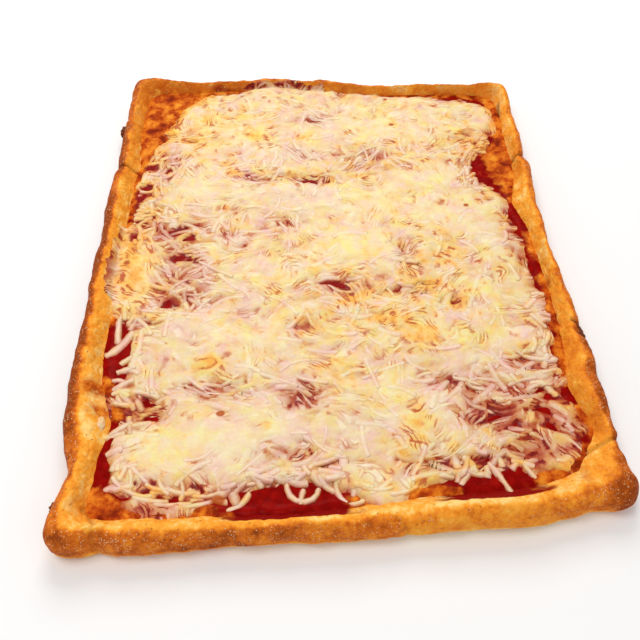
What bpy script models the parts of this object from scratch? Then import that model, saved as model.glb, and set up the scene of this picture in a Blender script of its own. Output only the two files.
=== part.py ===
"""A whole rectangular Sicilian pizza: a thick crust with a raised rim, a sauce layer and melted cheese.

Metres, +Z up. The long side runs along Y, and the front, seen from the usual side, is at -Y.
The plan is drawn from the middle of the cheese, and PLAN_SHIFT then brings the origin under the
middle of the whole. The base is flat and lies at height zero.
"""

import math
import random

import bmesh
import bpy
from mathutils import Vector, noise
from mathutils.geometry import delaunay_2d_cdt

# Where the drawn plan goes, so that the origin is under the middle of the part
PLAN_SHIFT = (0.0020, -0.0085)

# Heights of the layers
BASE_THICKNESS = 0.0110
LAYER_GAP = 0.0003
SAUCE_THICKNESS = 0.0014
CHEESE_EDGE_THICKNESS = 0.0011
CHEESE_THICKNESS = 0.0026

# Four-cornered outlines: front left, front right, back right, back left, with the corners' radius
RIM_CORNERS = ((-0.1710, -0.2080), (0.1670, -0.1870), (0.1635, 0.2035), (-0.1690, 0.2230))
RIM_RADIUS = 0.0110
FLOOR_CORNERS = ((-0.1525, -0.1880), (0.1485, -0.1730), (0.1495, 0.1940), (-0.1525, 0.2100))
FLOOR_RADIUS = 0.0130
CHEESE_CORNERS = ((-0.1400, -0.1790), (0.1420, -0.1640), (0.1390, 0.1840), (-0.1370, 0.2010))
CHEESE_RADIUS = 0.0200

# Steps round an outline: each corner's arc, and the sides front, right, back and left
ARC_STEPS = 6
SIDE_STEPS = (52, 56, 48, 60)

# The rim's section: its widest part and crest as shares of its height and width, and its rounding
CREST_HEIGHT = 0.0230
WIDEST_SHARE = 0.40
CREST_SHARE = 0.42
BASE_INSET = 0.0045
UNDER_STEPS = 2
OUTER_STEPS = 4
INNER_STEPS = 4
FULLNESS = 0.88

# Lumps of the baked dough, small ones and broad ones: size of a lump, and how far it stands out
LUMPS = ((0.017, 0.0010), (0.042, 0.0017))
LUMPS_FROM_HEIGHT = 0.5
LUMPS_TO_FOOT = 0.4

# Swells below are x, y, spread along x, spread along y, and amount at the middle.

# Where the rim's widest line bows outwards, or inwards where the amount is negative
RIM_SWELLS = (
    (-0.171, -0.020, 0.030, 0.130, 0.0040),
    (-0.171, 0.085, 0.030, 0.030, 0.0015),
    (-0.172, -0.162, 0.020, 0.019, -0.0065),
    (-0.170, 0.104, 0.010, 0.006, -0.0018),
    (0.010, -0.198, 0.085, 0.020, 0.0065),
    (0.110, -0.193, 0.035, 0.020, 0.0060),
    (-0.110, -0.204, 0.035, 0.020, 0.0025),
    (-0.143, -0.207, 0.006, 0.012, -0.0022),
    (0.036, -0.200, 0.006, 0.010, -0.0012),
    (0.169, -0.182, 0.016, 0.014, 0.0040),
    (0.167, -0.122, 0.020, 0.013, 0.0026),
    (0.167, -0.093, 0.020, 0.011, 0.0022),
    (0.166, -0.072, 0.012, 0.006, -0.0024),
    (0.165, 0.020, 0.020, 0.070, -0.0040),
    (0.165, 0.107, 0.012, 0.007, -0.0020),
    (-0.045, 0.218, 0.024, 0.030, 0.0090),
    (0.000, 0.215, 0.016, 0.030, 0.0045),
    (-0.120, 0.222, 0.015, 0.020, -0.0030),
    (0.055, 0.212, 0.020, 0.020, -0.0015),
    (0.138, 0.207, 0.010, 0.020, -0.0020),
)

# Where the rim stands higher or lower than CREST_HEIGHT
HEIGHT_SWELLS = (
    (0.000, 0.215, 0.120, 0.030, -0.0035),
    (-0.160, 0.215, 0.022, 0.025, 0.0025),
    (0.158, 0.200, 0.020, 0.025, 0.0020),
    (-0.170, 0.020, 0.030, 0.110, 0.0010),
    (-0.165, -0.195, 0.020, 0.016, 0.0030),
    (-0.143, -0.207, 0.006, 0.014, -0.0026),
    (-0.164, -0.150, 0.020, 0.016, -0.0025),
    (-0.165, 0.104, 0.020, 0.006, -0.0030),
    (0.160, 0.020, 0.020, 0.120, 0.0015),
    (0.158, 0.107, 0.020, 0.006, -0.0030),
    (0.160, -0.073, 0.020, 0.007, -0.0034),
    (0.163, -0.125, 0.020, 0.014, 0.0020),
    (0.155, -0.155, 0.014, 0.010, -0.0030),
    (0.164, -0.182, 0.016, 0.012, 0.0015),
    (0.034, -0.200, 0.005, 0.020, -0.0020),
    (-0.060, -0.200, 0.060, 0.020, -0.0010),
)

# Where the rim's inner slope ends further out, or nearer the middle where the amount is negative
FLOOR_SWELLS = (
    (-0.153, -0.128, 0.020, 0.018, -0.0075),
    (-0.153, 0.115, 0.020, 0.014, -0.0030),
    (-0.153, -0.010, 0.020, 0.050, 0.0025),
    (0.149, 0.060, 0.020, 0.020, -0.0080),
    (0.149, -0.105, 0.020, 0.016, -0.0050),
    (0.149, -0.040, 0.020, 0.030, 0.0015),
    (0.140, -0.170, 0.022, 0.016, -0.0080),
    (0.149, -0.140, 0.020, 0.014, 0.0050),
    (0.110, 0.195, 0.030, 0.020, 0.0030),
    (-0.035, 0.203, 0.050, 0.020, 0.0090),
    (-0.140, 0.200, 0.018, 0.020, -0.0030),
    (-0.030, -0.184, 0.050, 0.020, 0.0040),
)

# Bays of bare sauce round the cheese, and tongues of cheese that run out to the rim
CHEESE_SWELLS = (
    (-0.139, 0.010, 0.030, 0.055, 0.0125),
    (-0.139, 0.090, 0.030, 0.022, 0.0060),
    (-0.139, -0.080, 0.030, 0.022, -0.0030),
    (-0.100, -0.177, 0.030, 0.030, 0.0040),
    (-0.036, -0.174, 0.026, 0.030, -0.0060),
    (0.020, -0.170, 0.022, 0.030, 0.0090),
    (0.090, -0.166, 0.026, 0.030, -0.0035),
    (0.142, -0.132, 0.030, 0.020, 0.0060),
    (0.141, -0.080, 0.030, 0.012, -0.0050),
    (0.140, -0.020, 0.030, 0.028, -0.0035),
    (0.140, 0.098, 0.040, 0.026, -0.0260),
    (0.140, 0.160, 0.030, 0.012, 0.0030),
    (-0.040, 0.195, 0.030, 0.030, 0.0100),
    (0.060, 0.188, 0.040, 0.030, 0.0030),
    (-0.128, 0.196, 0.020, 0.030, -0.0050),
)

# Thick pools of cheese, and thin places where the sauce nearly shows through
CHEESE_DEPTH_SWELLS = (
    (0.045, 0.050, 0.060, 0.045, 0.0012),
    (-0.060, 0.140, 0.035, 0.030, 0.0008),
    (-0.100, -0.145, 0.030, 0.022, 0.0010),
    (-0.035, -0.050, 0.030, 0.020, 0.0008),
    (0.060, -0.065, 0.025, 0.020, 0.0008),
    (0.100, 0.145, 0.025, 0.020, 0.0007),
    (-0.060, 0.092, 0.020, 0.012, -0.0008),
    (-0.010, 0.090, 0.022, 0.009, -0.0010),
    (0.035, 0.097, 0.020, 0.009, -0.0009),
    (-0.115, 0.000, 0.020, 0.025, -0.0009),
    (-0.045, 0.042, 0.014, 0.018, -0.0008),
    (0.068, -0.014, 0.018, 0.018, -0.0009),
    (-0.022, -0.055, 0.012, 0.008, -0.0008),
    (0.115, -0.130, 0.035, 0.025, -0.0010),
    (-0.015, -0.112, 0.016, 0.012, -0.0008),
)
CHEESE_GRID = 0.0125
CHEESE_GRID_MARGIN = 0.007
CHEESE_TAPER = 0.012
CHEESE_LUMP_SIZE = 0.016
CHEESE_LUMP_HEIGHT = 0.0005
CHEESE_EDGE_WAVE = 0.0022
CHEESE_EDGE_WAVE_SIZE = 0.013

# Shreds that show, fused on: their sizes, how deep they sink in, and how they are spread
SHRED_WIDTH = 0.0028
SHRED_THICKNESS = 0.0017
SHRED_TOP_SHARE = 0.6
SHRED_END_SHARE = 0.6
SHRED_STEPS = 4
SHRED_SINK = 0.0007
EDGE_SHRED_SPACING = 0.023
EDGE_SHRED_ROOT = 0.007
EDGE_SHRED_LENGTHS = (0.018, 0.030)
TOP_SHRED_ROWS = 7
TOP_SHRED_COLUMNS = 6
TOP_SHRED_LENGTHS = (0.024, 0.034)
SHRED_SEED = 11

# Shreds with a place of their own: x, y, heading, length and turn, angles in degrees
NAMED_SHREDS = (
    (-0.0980, 0.0060, -38.0, 0.030, 10.0),
    (-0.0330, -0.1660, -80.0, 0.036, 170.0),
    (-0.0060, -0.1700, -85.0, 0.024, 130.0),
    (0.0780, -0.1590, -70.0, 0.022, 20.0),
    (0.0920, -0.1580, -75.0, 0.026, -25.0),
    (0.1080, -0.1570, -95.0, 0.020, 30.0),
)

# Bits baked onto the crust: x, y, height of the middle, and half sizes along x, y and z
CRUST_BITS = (
    (-0.1720, 0.1600, 0.0100, 0.0050, 0.0070, 0.0035),
    (-0.1690, -0.1800, 0.0090, 0.0040, 0.0040, 0.0030),
    (0.1635, -0.0740, 0.0130, 0.0042, 0.0110, 0.0055),
    (-0.1500, -0.1280, 0.0145, 0.0030, 0.0050, 0.0022),
    (0.0280, -0.1910, 0.0135, 0.0045, 0.0026, 0.0020),
)
BIT_UNEVENNESS = 0.2


def swell(table, x, y):
    """Sum of the named swells at a place."""
    total = 0.0
    for middle_x, middle_y, spread_x, spread_y, amount in table:
        far = ((x - middle_x) / spread_x) ** 2 + ((y - middle_y) / spread_y) ** 2
        total += amount * math.exp(-far)
    return total


def ease(share):
    """Smooth step from 0 to 1."""
    share = min(max(share, 0.0), 1.0)
    return share * share * (3.0 - 2.0 * share)


def rounded_loop(corners, radius):
    """Stations round a four-cornered outline: each a point and the direction that faces out."""
    corners = [Vector(corner) for corner in corners]
    starts = []
    ends = []
    arcs = []
    for index, here in enumerate(corners):
        back = (corners[index - 1] - here).normalized()
        ahead = (corners[(index + 1) % 4] - here).normalized()
        half = back.angle(ahead) / 2.0
        reach = radius / math.tan(half)
        centre = here + (back + ahead).normalized() * (radius / math.sin(half))
        starts.append(here + back * reach)
        ends.append(here + ahead * reach)
        arcs.append((centre, math.pi - 2.0 * half))
    stations = []
    for index in range(4):
        centre, turn = arcs[index]
        first = starts[index] - centre
        opening = math.atan2(first.y, first.x)
        for step in range(ARC_STEPS):
            angle = opening + turn * step / ARC_STEPS
            facing = Vector((math.cos(angle), math.sin(angle)))
            stations.append((centre + facing * radius, facing))
        side = starts[(index + 1) % 4] - ends[index]
        facing = Vector((side.y, -side.x)).normalized()
        for step in range(SIDE_STEPS[index]):
            stations.append((ends[index] + side * (step / SIDE_STEPS[index]), facing))
    return stations


def swollen_loop(corners, radius, table):
    """A rounded outline moved along its facing by the named swells."""
    stations = rounded_loop(corners, radius)
    return [point + facing * swell(table, point.x, point.y) for point, facing in stations]


def distance_inside(loop, x, y):
    """Distance to the outline, positive inside it and negative outside."""
    nearest = float("inf")
    inside = False
    for index, head in enumerate(loop):
        tail = loop[index - 1]
        run = head - tail
        share = ((x - tail.x) * run.x + (y - tail.y) * run.y) / run.length_squared
        share = min(max(share, 0.0), 1.0)
        nearest = min(nearest, math.hypot(x - tail.x - run.x * share, y - tail.y - run.y * share))
        if (head.y > y) != (tail.y > y) and x < tail.x + run.x * (y - tail.y) / run.y:
            inside = not inside
    return nearest if inside else -nearest


def lump(x, y, z, size):
    """Smooth lumpiness, from about -1 to 1."""
    return noise.noise(Vector((x, y, z)) / size)


def finish(name, mesh, colour, roughness):
    """Make the object for a mesh, with its material, smooth shading and place."""
    material = bpy.data.materials.new(name)
    material.use_nodes = True
    shader = material.node_tree.nodes["Principled BSDF"]
    shader.inputs["Base Color"].default_value = (*colour, 1.0)
    shader.inputs["Roughness"].default_value = roughness
    shader.inputs["Metallic"].default_value = 0.0
    mesh.materials.clear()
    mesh.materials.append(material)
    mesh.shade_smooth()
    mesh.set_sharp_from_angle(angle=math.radians(50.0))
    piece = bpy.data.objects.new(name, mesh)
    piece.location = (*PLAN_SHIFT, 0.0)
    bpy.context.collection.objects.link(piece)
    return piece


def closed_mesh(name, vertices, faces):
    """Mesh from points and faces, with every face turned outwards."""
    mesh = bpy.data.meshes.new(name)
    mesh.from_pydata(vertices, [], faces)
    shell = bmesh.new()
    shell.from_mesh(mesh)
    bmesh.ops.recalc_face_normals(shell, faces=shell.faces)
    bmesh.ops.triangulate(shell, faces=[face for face in shell.faces if len(face.verts) > 4])
    shell.to_mesh(mesh)
    shell.free()
    return mesh


def fuse(target, meshes):
    """One union of a piece with a collection of small ones, applied, and the small ones removed."""
    group = bpy.data.collections.new(target.name + "_bits")
    bpy.context.scene.collection.children.link(group)
    for index, mesh in enumerate(meshes):
        bit = bpy.data.objects.new(f"{target.name}_bit_{index}", mesh)
        bit.location = target.location
        group.objects.link(bit)
    union = target.modifiers.new("union", "BOOLEAN")
    union.operation = "UNION"
    union.solver = "EXACT"
    union.operand_type = "COLLECTION"
    union.collection = group
    bpy.ops.object.select_all(action="DESELECT")
    bpy.context.view_layer.objects.active = target
    bpy.ops.object.modifier_apply(modifier=union.name)
    for bit in list(group.objects):
        bpy.data.objects.remove(bit)
    bpy.data.collections.remove(group)


def rim_section(width, height):
    """The rim's section from base to floor: how far in from the widest line, and how high."""
    middle = WIDEST_SHARE * height
    crest = CREST_SHARE * width
    points = []
    for step in range(UNDER_STEPS):
        angle = 0.5 * math.pi * step / UNDER_STEPS
        points.append((BASE_INSET * (1.0 - math.sin(angle)), middle * (1.0 - math.cos(angle))))
    for step in range(OUTER_STEPS):
        angle = 0.5 * math.pi * step / OUTER_STEPS
        inwards = crest * (1.0 - math.cos(angle) ** FULLNESS)
        points.append((inwards, middle + (height - middle) * math.sin(angle) ** FULLNESS))
    for step in range(INNER_STEPS + 1):
        share = step / INNER_STEPS
        fall = 0.5 + 0.5 * math.cos(math.pi * share)
        points.append((crest + (width - crest) * share, BASE_THICKNESS + (height - BASE_THICKNESS) * fall))
    return points


def crust_bit(x, y, z, half_x, half_y, half_z):
    """A small rounded scrap, as a closed mesh of its own."""
    shell = bmesh.new()
    bmesh.ops.create_icosphere(shell, subdivisions=1, radius=1.0)
    for vertex in shell.verts:
        puff = 1.0 + BIT_UNEVENNESS * lump(vertex.co.x, vertex.co.y, vertex.co.z, 1.0)
        vertex.co.x = x + vertex.co.x * half_x * puff
        vertex.co.y = y + vertex.co.y * half_y * puff
        vertex.co.z = z + vertex.co.z * half_z
    mesh = bpy.data.meshes.new("bit")
    shell.to_mesh(mesh)
    shell.free()
    return mesh


def make_crust(widest, floor):
    """Flat base, lumpy raised rim swept round the outline, and the level floor inside it."""
    vertices = []
    count = len(widest)
    for outer, inner in zip(widest, floor):
        across = inner - outer
        width = across.length
        inwards = across / width
        height = CREST_HEIGHT + swell(HEIGHT_SWELLS, outer.x, outer.y)
        section = rim_section(width, height)
        for depth, level in section:
            place = outer + inwards * depth
            free = ease(level / (LUMPS_FROM_HEIGHT * height))
            free *= ease((width - depth) / (LUMPS_TO_FOOT * width))
            push = free * sum(far * lump(place.x, place.y, level, size) for size, far in LUMPS)
            rise = free * sum(far * lump(place.y, level, place.x, size) for size, far in LUMPS)
            place = place - inwards * push
            vertices.append((place.x, place.y, level + rise))
    rings = len(vertices) // count
    faces = []
    for station in range(count):
        after = (station + 1) % count
        for ring in range(rings - 1):
            here = station * rings + ring
            there = after * rings + ring
            faces.append((here, there, there + 1, here + 1))
    faces.append([station * rings for station in range(count)])
    faces.append([station * rings + rings - 1 for station in range(count)])
    crust = finish("crust", closed_mesh("crust", vertices, faces), (0.56, 0.22, 0.05), 0.75)
    fuse(crust, [crust_bit(*bit) for bit in CRUST_BITS])
    return crust


def slab(outline, low, high):
    """A flat-topped slab over an outline."""
    count = len(outline)
    vertices = [(point.x, point.y, low) for point in outline]
    vertices += [(point.x, point.y, high) for point in outline]
    faces = [list(range(count)), list(range(count, 2 * count))]
    for index in range(count):
        after = (index + 1) % count
        faces.append((index, after, count + after, count + index))
    return vertices, faces


def make_sauce(floor):
    """Sauce layer over the whole floor of the crust, just clear of the rim's foot."""
    middle = sum(floor, Vector((0.0, 0.0))) / len(floor)
    outline = [point + (middle - point).normalized() * 2.0 * LAYER_GAP for point in floor]
    low = BASE_THICKNESS + LAYER_GAP
    vertices, faces = slab(outline, low, low + SAUCE_THICKNESS)
    return finish("sauce", closed_mesh("sauce", vertices, faces), (0.29, 0.005, 0.004), 0.35)


def cheese_outline():
    """Uneven edge of the cheese, with its bays and tongues and a small wave."""
    outline = []
    for point, facing in rounded_loop(CHEESE_CORNERS, CHEESE_RADIUS):
        wave = CHEESE_EDGE_WAVE * lump(point.x, point.y, 0.0, CHEESE_EDGE_WAVE_SIZE)
        outline.append(point + facing * (swell(CHEESE_SWELLS, point.x, point.y) + wave))
    return outline


def cheese_depth(x, y, inside):
    """Thickness of the cheese sheet, thinning towards its edge."""
    body = CHEESE_THICKNESS + swell(CHEESE_DEPTH_SWELLS, x, y)
    body += CHEESE_LUMP_HEIGHT * lump(x, y, 0.0, CHEESE_LUMP_SIZE)
    return CHEESE_EDGE_THICKNESS + (body - CHEESE_EDGE_THICKNESS) * ease(inside / CHEESE_TAPER)


def cheese_core(outline, low):
    """The cheese sheet: a flat underside, an uneven top on a staggered grid, and a thin edge."""
    count = len(outline)
    plan = [Vector(point) for point in outline]
    edges = [(index, (index + 1) % count) for index in range(count)]
    left = min(point.x for point in outline)
    right = max(point.x for point in outline)
    front = min(point.y for point in outline)
    back = max(point.y for point in outline)
    row_step = CHEESE_GRID * math.sqrt(0.75)
    for row in range(int((back - front) / row_step) + 1):
        y = front + row * row_step
        for column in range(int((right - left) / CHEESE_GRID) + 1):
            x = left + (column + 0.5 * (row % 2)) * CHEESE_GRID
            if distance_inside(outline, x, y) > CHEESE_GRID_MARGIN:
                plan.append(Vector((x, y)))
    plan, _, triangles, _, _, _ = delaunay_2d_cdt(plan, edges, [], 1, 1e-7)
    vertices = []
    for index, point in enumerate(plan):
        inside = distance_inside(outline, point.x, point.y) if index >= count else 0.0
        vertices.append((point.x, point.y, low + cheese_depth(point.x, point.y, inside)))
    under = len(vertices)
    vertices += [(point.x, point.y, low) for point in plan[:count]]
    faces = [tuple(triangle) for triangle in triangles]
    faces.append([under + index for index in range(count)])
    for index in range(count):
        after = (index + 1) % count
        faces.append((index, after, under + after, under + index))
    return closed_mesh("cheese", vertices, faces)


def shred(outline, floor, low, x, y, heading, length, turn):
    """One melted shred along a bent path, cut short where it would reach the rim; None if too short."""
    step_length = length / SHRED_STEPS
    path = []
    for step in range(SHRED_STEPS + 1):
        if distance_inside(floor, x, y) < SHRED_WIDTH:
            break
        inside = distance_inside(outline, x, y)
        level = low + 0.5 * LAYER_GAP
        if inside > 0.0:
            level = max(level, low + cheese_depth(x, y, inside) - SHRED_SINK)
        path.append((x, y, level, heading))
        x += step_length * math.cos(heading)
        y += step_length * math.sin(heading)
        heading += turn / SHRED_STEPS
    if len(path) < SHRED_STEPS - 1:
        return None
    vertices = []
    for place, (x, y, level, heading) in enumerate(path):
        end = place in (0, len(path) - 1)
        taper = SHRED_END_SHARE if end else 1.0
        half = 0.5 * SHRED_WIDTH * taper
        side = Vector((-math.sin(heading), math.cos(heading)))
        for share, height in ((-1.0, 0.0), (-SHRED_TOP_SHARE, 1.0), (SHRED_TOP_SHARE, 1.0), (1.0, 0.0)):
            rise = SHRED_THICKNESS * height * taper
            vertices.append((x + side.x * half * share, y + side.y * half * share, level + rise))
    faces = [(0, 1, 2, 3)]
    last = 4 * (len(path) - 1)
    faces.append((last + 3, last + 2, last + 1, last))
    for place in range(len(path) - 1):
        for corner in range(4):
            here = 4 * place + corner
            across = 4 * place + (corner + 1) % 4
            faces.append((here, across, across + 4, here + 4))
    return closed_mesh("shred", vertices, faces)


def edge_shreds(outline, draw):
    """Shreds that run out from the edge of the cheese over the bare sauce."""
    walked = 0.0
    for index, point in enumerate(outline):
        before = outline[index - 1]
        run = point - before
        walked += run.length
        if walked < EDGE_SHRED_SPACING:
            continue
        walked = 0.0
        outwards = math.atan2(-run.x, run.y)
        start = point - Vector((math.cos(outwards), math.sin(outwards))) * EDGE_SHRED_ROOT
        length = draw.uniform(*EDGE_SHRED_LENGTHS)
        turn = math.radians(draw.uniform(-70.0, 70.0))
        yield start.x, start.y, outwards + math.radians(draw.uniform(-60.0, 60.0)), length, turn


def top_shreds(draw):
    """Larger shreds spread over the top, one in each cell of a loose grid."""
    left, front = CHEESE_CORNERS[0]
    right, back = CHEESE_CORNERS[2]
    for row in range(TOP_SHRED_ROWS):
        for column in range(TOP_SHRED_COLUMNS):
            x = left + (right - left) * (column + draw.uniform(0.2, 0.8)) / TOP_SHRED_COLUMNS
            y = front + (back - front) * (row + draw.uniform(0.2, 0.8)) / TOP_SHRED_ROWS
            heading = draw.uniform(0.0, 2.0 * math.pi)
            yield x, y, heading, draw.uniform(*TOP_SHRED_LENGTHS), math.radians(draw.uniform(-80.0, 80.0))


def make_cheese(floor):
    """Melted cheese: one uneven sheet with the shreds that still show fused on."""
    low = BASE_THICKNESS + SAUCE_THICKNESS + 2.0 * LAYER_GAP
    outline = cheese_outline()
    cheese = finish("cheese", cheese_core(outline, low), (0.88, 0.72, 0.45), 0.45)
    draw = random.Random(SHRED_SEED)
    placed = [(x, y, math.radians(heading), length, math.radians(turn))
              for x, y, heading, length, turn in NAMED_SHREDS]
    placed += list(edge_shreds(outline, draw))
    placed += list(top_shreds(draw))
    shreds = [shred(outline, floor, low, *values) for values in placed]
    fuse(cheese, [mesh for mesh in shreds if mesh])
    return cheese


def main():
    for old in list(bpy.data.objects):
        bpy.data.objects.remove(old)
    widest = swollen_loop(RIM_CORNERS, RIM_RADIUS, RIM_SWELLS)
    floor = swollen_loop(FLOOR_CORNERS, FLOOR_RADIUS, FLOOR_SWELLS)
    make_crust(widest, floor)
    make_sauce(floor)
    make_cheese(floor)


main()
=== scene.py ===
"""Looks of a whole rectangular Sicilian pizza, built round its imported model.

Metres, +Z up. The long side runs along Y and the front, seen from the usual side, is at -Y.
Places are on the plan that the solids are drawn on, the tables' in millimetres, and PLAN_SHIFT
brings them into the model's frame. The crust repeats the solid's sweep in finer steps. The sauce
and the cheese are height fields over the same outlines, with the melted shreds as bent copies of
one shred.
"""

import math
from functools import partial

import bpy
import numpy as np
from bpy.props import FloatProperty, FloatVectorProperty, IntProperty, PointerProperty
from mathutils import Color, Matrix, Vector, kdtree, noise


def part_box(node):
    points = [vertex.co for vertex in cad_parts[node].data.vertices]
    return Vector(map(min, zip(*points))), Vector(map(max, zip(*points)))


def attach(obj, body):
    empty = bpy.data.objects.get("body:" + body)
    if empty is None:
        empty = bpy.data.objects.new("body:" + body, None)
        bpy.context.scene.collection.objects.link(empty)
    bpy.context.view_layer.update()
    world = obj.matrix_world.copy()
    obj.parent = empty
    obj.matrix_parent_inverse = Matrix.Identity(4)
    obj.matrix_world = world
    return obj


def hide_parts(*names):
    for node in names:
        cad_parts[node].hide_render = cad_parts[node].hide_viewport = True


bl_info = {
    "name": "Sicilian Pizza",
    "version": (1, 0, 0),
    "blender": (4, 5, 0),
    "location": "View3D > Sidebar > Pizza",
    "description": "Builds the crust, sauce, cheese and studio stage of a whole Sicilian pizza",
    "category": "Object",
}

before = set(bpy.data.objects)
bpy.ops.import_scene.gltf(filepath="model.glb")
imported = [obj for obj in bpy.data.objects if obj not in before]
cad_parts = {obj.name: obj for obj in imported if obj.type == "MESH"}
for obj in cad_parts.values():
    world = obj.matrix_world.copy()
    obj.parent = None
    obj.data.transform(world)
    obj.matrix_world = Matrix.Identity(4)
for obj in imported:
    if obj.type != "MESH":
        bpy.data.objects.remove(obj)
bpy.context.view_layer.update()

MM = 0.001
PLAN_SHIFT = np.array((0.0020, -0.0085))

# Heights of the layers, as in the solids, and of the cheese's edge and bottom, sunk into the sauce
BASE_THICKNESS = 0.0110
SAUCE_BOTTOM = 0.0113
SAUCE_TOP = 0.0127
CHEESE_SUNK = 0.0116
CHEESE_FOOT = 0.0112

# Four-cornered outlines: front left, front right, back right, back left, with the corners' radius
RIM_CORNERS = ((-0.1710, -0.2080), (0.1670, -0.1870), (0.1635, 0.2035), (-0.1690, 0.2230))
RIM_RADIUS = 0.0110
FLOOR_CORNERS = ((-0.1525, -0.1880), (0.1485, -0.1730), (0.1495, 0.1940), (-0.1525, 0.2100))
FLOOR_RADIUS = 0.0130
CHEESE_CORNERS = ((-0.1400, -0.1790), (0.1420, -0.1640), (0.1390, 0.1840), (-0.1370, 0.2010))
CHEESE_RADIUS = 0.0200
ARC_STEPS = 6
SIDE_STEPS = (52, 56, 48, 60)

# The rim's section, as in the solid
CREST_HEIGHT = 0.0230
WIDEST_SHARE = 0.40
CREST_SHARE = 0.42
BASE_INSET = 0.0045
FULLNESS = 0.88
LUMPS = ((0.017, 0.0010), (0.042, 0.0017))
LUMPS_FROM_HEIGHT = 0.5
LUMPS_TO_FOOT = 0.4

# How finely the rim's section and outline, and the underside, are stepped here
UNDER_STEPS = 6
OUTER_STEPS = 26
INNER_STEPS = 34
FINER = 5
UNDERSIDE_STEP = 0.005

# The rim's relief begins above the base, and a fold's step fades out past the fold's ends
RELIEF_FROM_HEIGHT = 0.004
FLAP_FADE = 0.006

# How far the sheets run out past their outlines, and the grids that they are cut from
SAUCE_MARGIN = 0.006
SAUCE_FIELD_MARGIN = 0.008
CHEESE_MARGIN = 0.0055
CHEESE_FIELD_MARGIN = 0.013

# A strand of cheese run together with its neighbours, as its finish draws it, and a bundle of them.
# The strands' pattern jumps from one bundle to the next, so a shred that reads a jump is over a seam.
STRAND_LENGTH = 0.0140
STRAND_WIDTH = 0.0034
BUNDLE_SIZE = 0.0210
BUNDLE_SEED = 12
BUNDLE_JUMP = 3.7
SEAM_JUMP = 2.5

# The tables below are in millimetres. Swells are x, y, spread along x, spread along y, and amount
# at the middle. The amount is in millimetres too, or else a share.

# The solids' own swells: where the rim's widest line, its height, its foot and the cheese bow out
RIM_SWELLS = (
    (-171, -20, 30, 130, 4), (-171, 85, 30, 30, 1.5), (-172, -162, 20, 19, -6.5), (-170, 104, 10, 6, -1.8),
    (10, -198, 85, 20, 6.5), (110, -193, 35, 20, 6), (-110, -204, 35, 20, 2.5), (-143, -207, 6, 12, -2.2),
    (36, -200, 6, 10, -1.2), (169, -182, 16, 14, 4), (167, -122, 20, 13, 2.6), (167, -93, 20, 11, 2.2),
    (166, -72, 12, 6, -2.4), (165, 20, 20, 70, -4), (165, 107, 12, 7, -2), (-45, 218, 24, 30, 9),
    (0, 215, 16, 30, 4.5), (-120, 222, 15, 20, -3), (55, 212, 20, 20, -1.5), (138, 207, 10, 20, -2),
    (-171, -92, 20, 36, 2), (75, -197, 50, 20, 1.6), (166, -60, 20, 30, 1),
)
HEIGHT_SWELLS = (
    (0, 215, 120, 30, -3.5), (-160, 215, 22, 25, 2.5), (158, 200, 20, 25, 2), (-170, 20, 30, 110, 1),
    (-165, -195, 20, 16, 3), (-143, -207, 6, 14, -2.6), (-164, -150, 20, 16, -2.5), (-165, 104, 20, 6, -3),
    (160, 20, 20, 120, 1.5), (158, 107, 20, 6, -3), (160, -73, 20, 7, -3.4), (163, -125, 20, 14, 2),
    (155, -155, 14, 10, -3), (164, -182, 16, 12, 1.5), (34, -200, 5, 20, -2), (-60, -200, 60, 20, -1),
)
FLOOR_SWELLS = (
    (-153, -128, 20, 18, -7.5), (-153, 115, 20, 14, -3), (-153, -10, 20, 50, 2.5), (149, 60, 20, 20, -8),
    (149, -105, 20, 16, -5), (149, -40, 20, 30, 1.5), (140, -170, 22, 16, -8), (149, -140, 20, 14, 5),
    (110, 195, 30, 20, 3), (-35, 203, 50, 20, 9), (-140, 200, 18, 20, -3), (-30, -184, 50, 20, 4),
    (-153, -163, 20, 20, -6), (-153, -112, 20, 16, -5), (-153, -135, 20, 12, -3), (-153, -30, 20, 20, -3),
    (146, -160, 14, 12, -5),
)
CHEESE_SWELLS = (
    (-139, 10, 30, 55, 12.5), (-139, 90, 30, 22, 6), (-139, -80, 30, 22, -3), (-100, -177, 30, 30, 4),
    (-36, -174, 26, 30, -6), (20, -170, 22, 30, 9), (90, -166, 26, 30, -3.5), (142, -132, 30, 20, 6),
    (141, -80, 30, 12, -5), (140, -20, 30, 28, -3.5), (140, 98, 40, 26, -26), (140, 160, 30, 12, 3),
    (-40, 195, 30, 30, 10), (60, 188, 40, 30, 3), (-128, 196, 20, 30, -5),
)

# Grooves in the rim where the dough is folded: both ends, half width, depth, and how dark the painted shade in it is
CREASES = (
    (-176, 104, -149, 105, 1.3, 2, 0.75), (170, 107.5, 152, 108, 1.6, 1.8, 0.8),
    (152, 108, 144, 94, 1.9, 1.8, 0.9), (144, 94, 145, 80, 1.6, 1.2, 0.7), (153, 180, 150, 160, 1.5, 1.2, 0.7),
    (150, 160, 143, 150, 1.4, 1, 0.55), (172, -69, 158, -62, 1.4, 1.8, 0.8),
    (142, -158, 166, -150, 1.6, 1.2, 0.35), (-152, -183, -142, -195, 1.4, 1.4, 0.3),
    (-142, -195, -143, -212, 1.4, 1.2, 0.15), (25, -196, 40, -206, 1.2, 0.8, 0.2),
)

# Folds that end in a step: both ends, the step's height, and how far it runs off to the line's left,
# or to its right where negative
FLAPS = (
    (-176, 103, -149, 104, 1.2, -12), (170, 107, 150, 107, 1.1, 12), (174, -72, 156, -65, 1.2, 10),
    (-152, -183, -143, -210, 1, 9), (142, -158, 166, -150, 1, 10),
)

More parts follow.
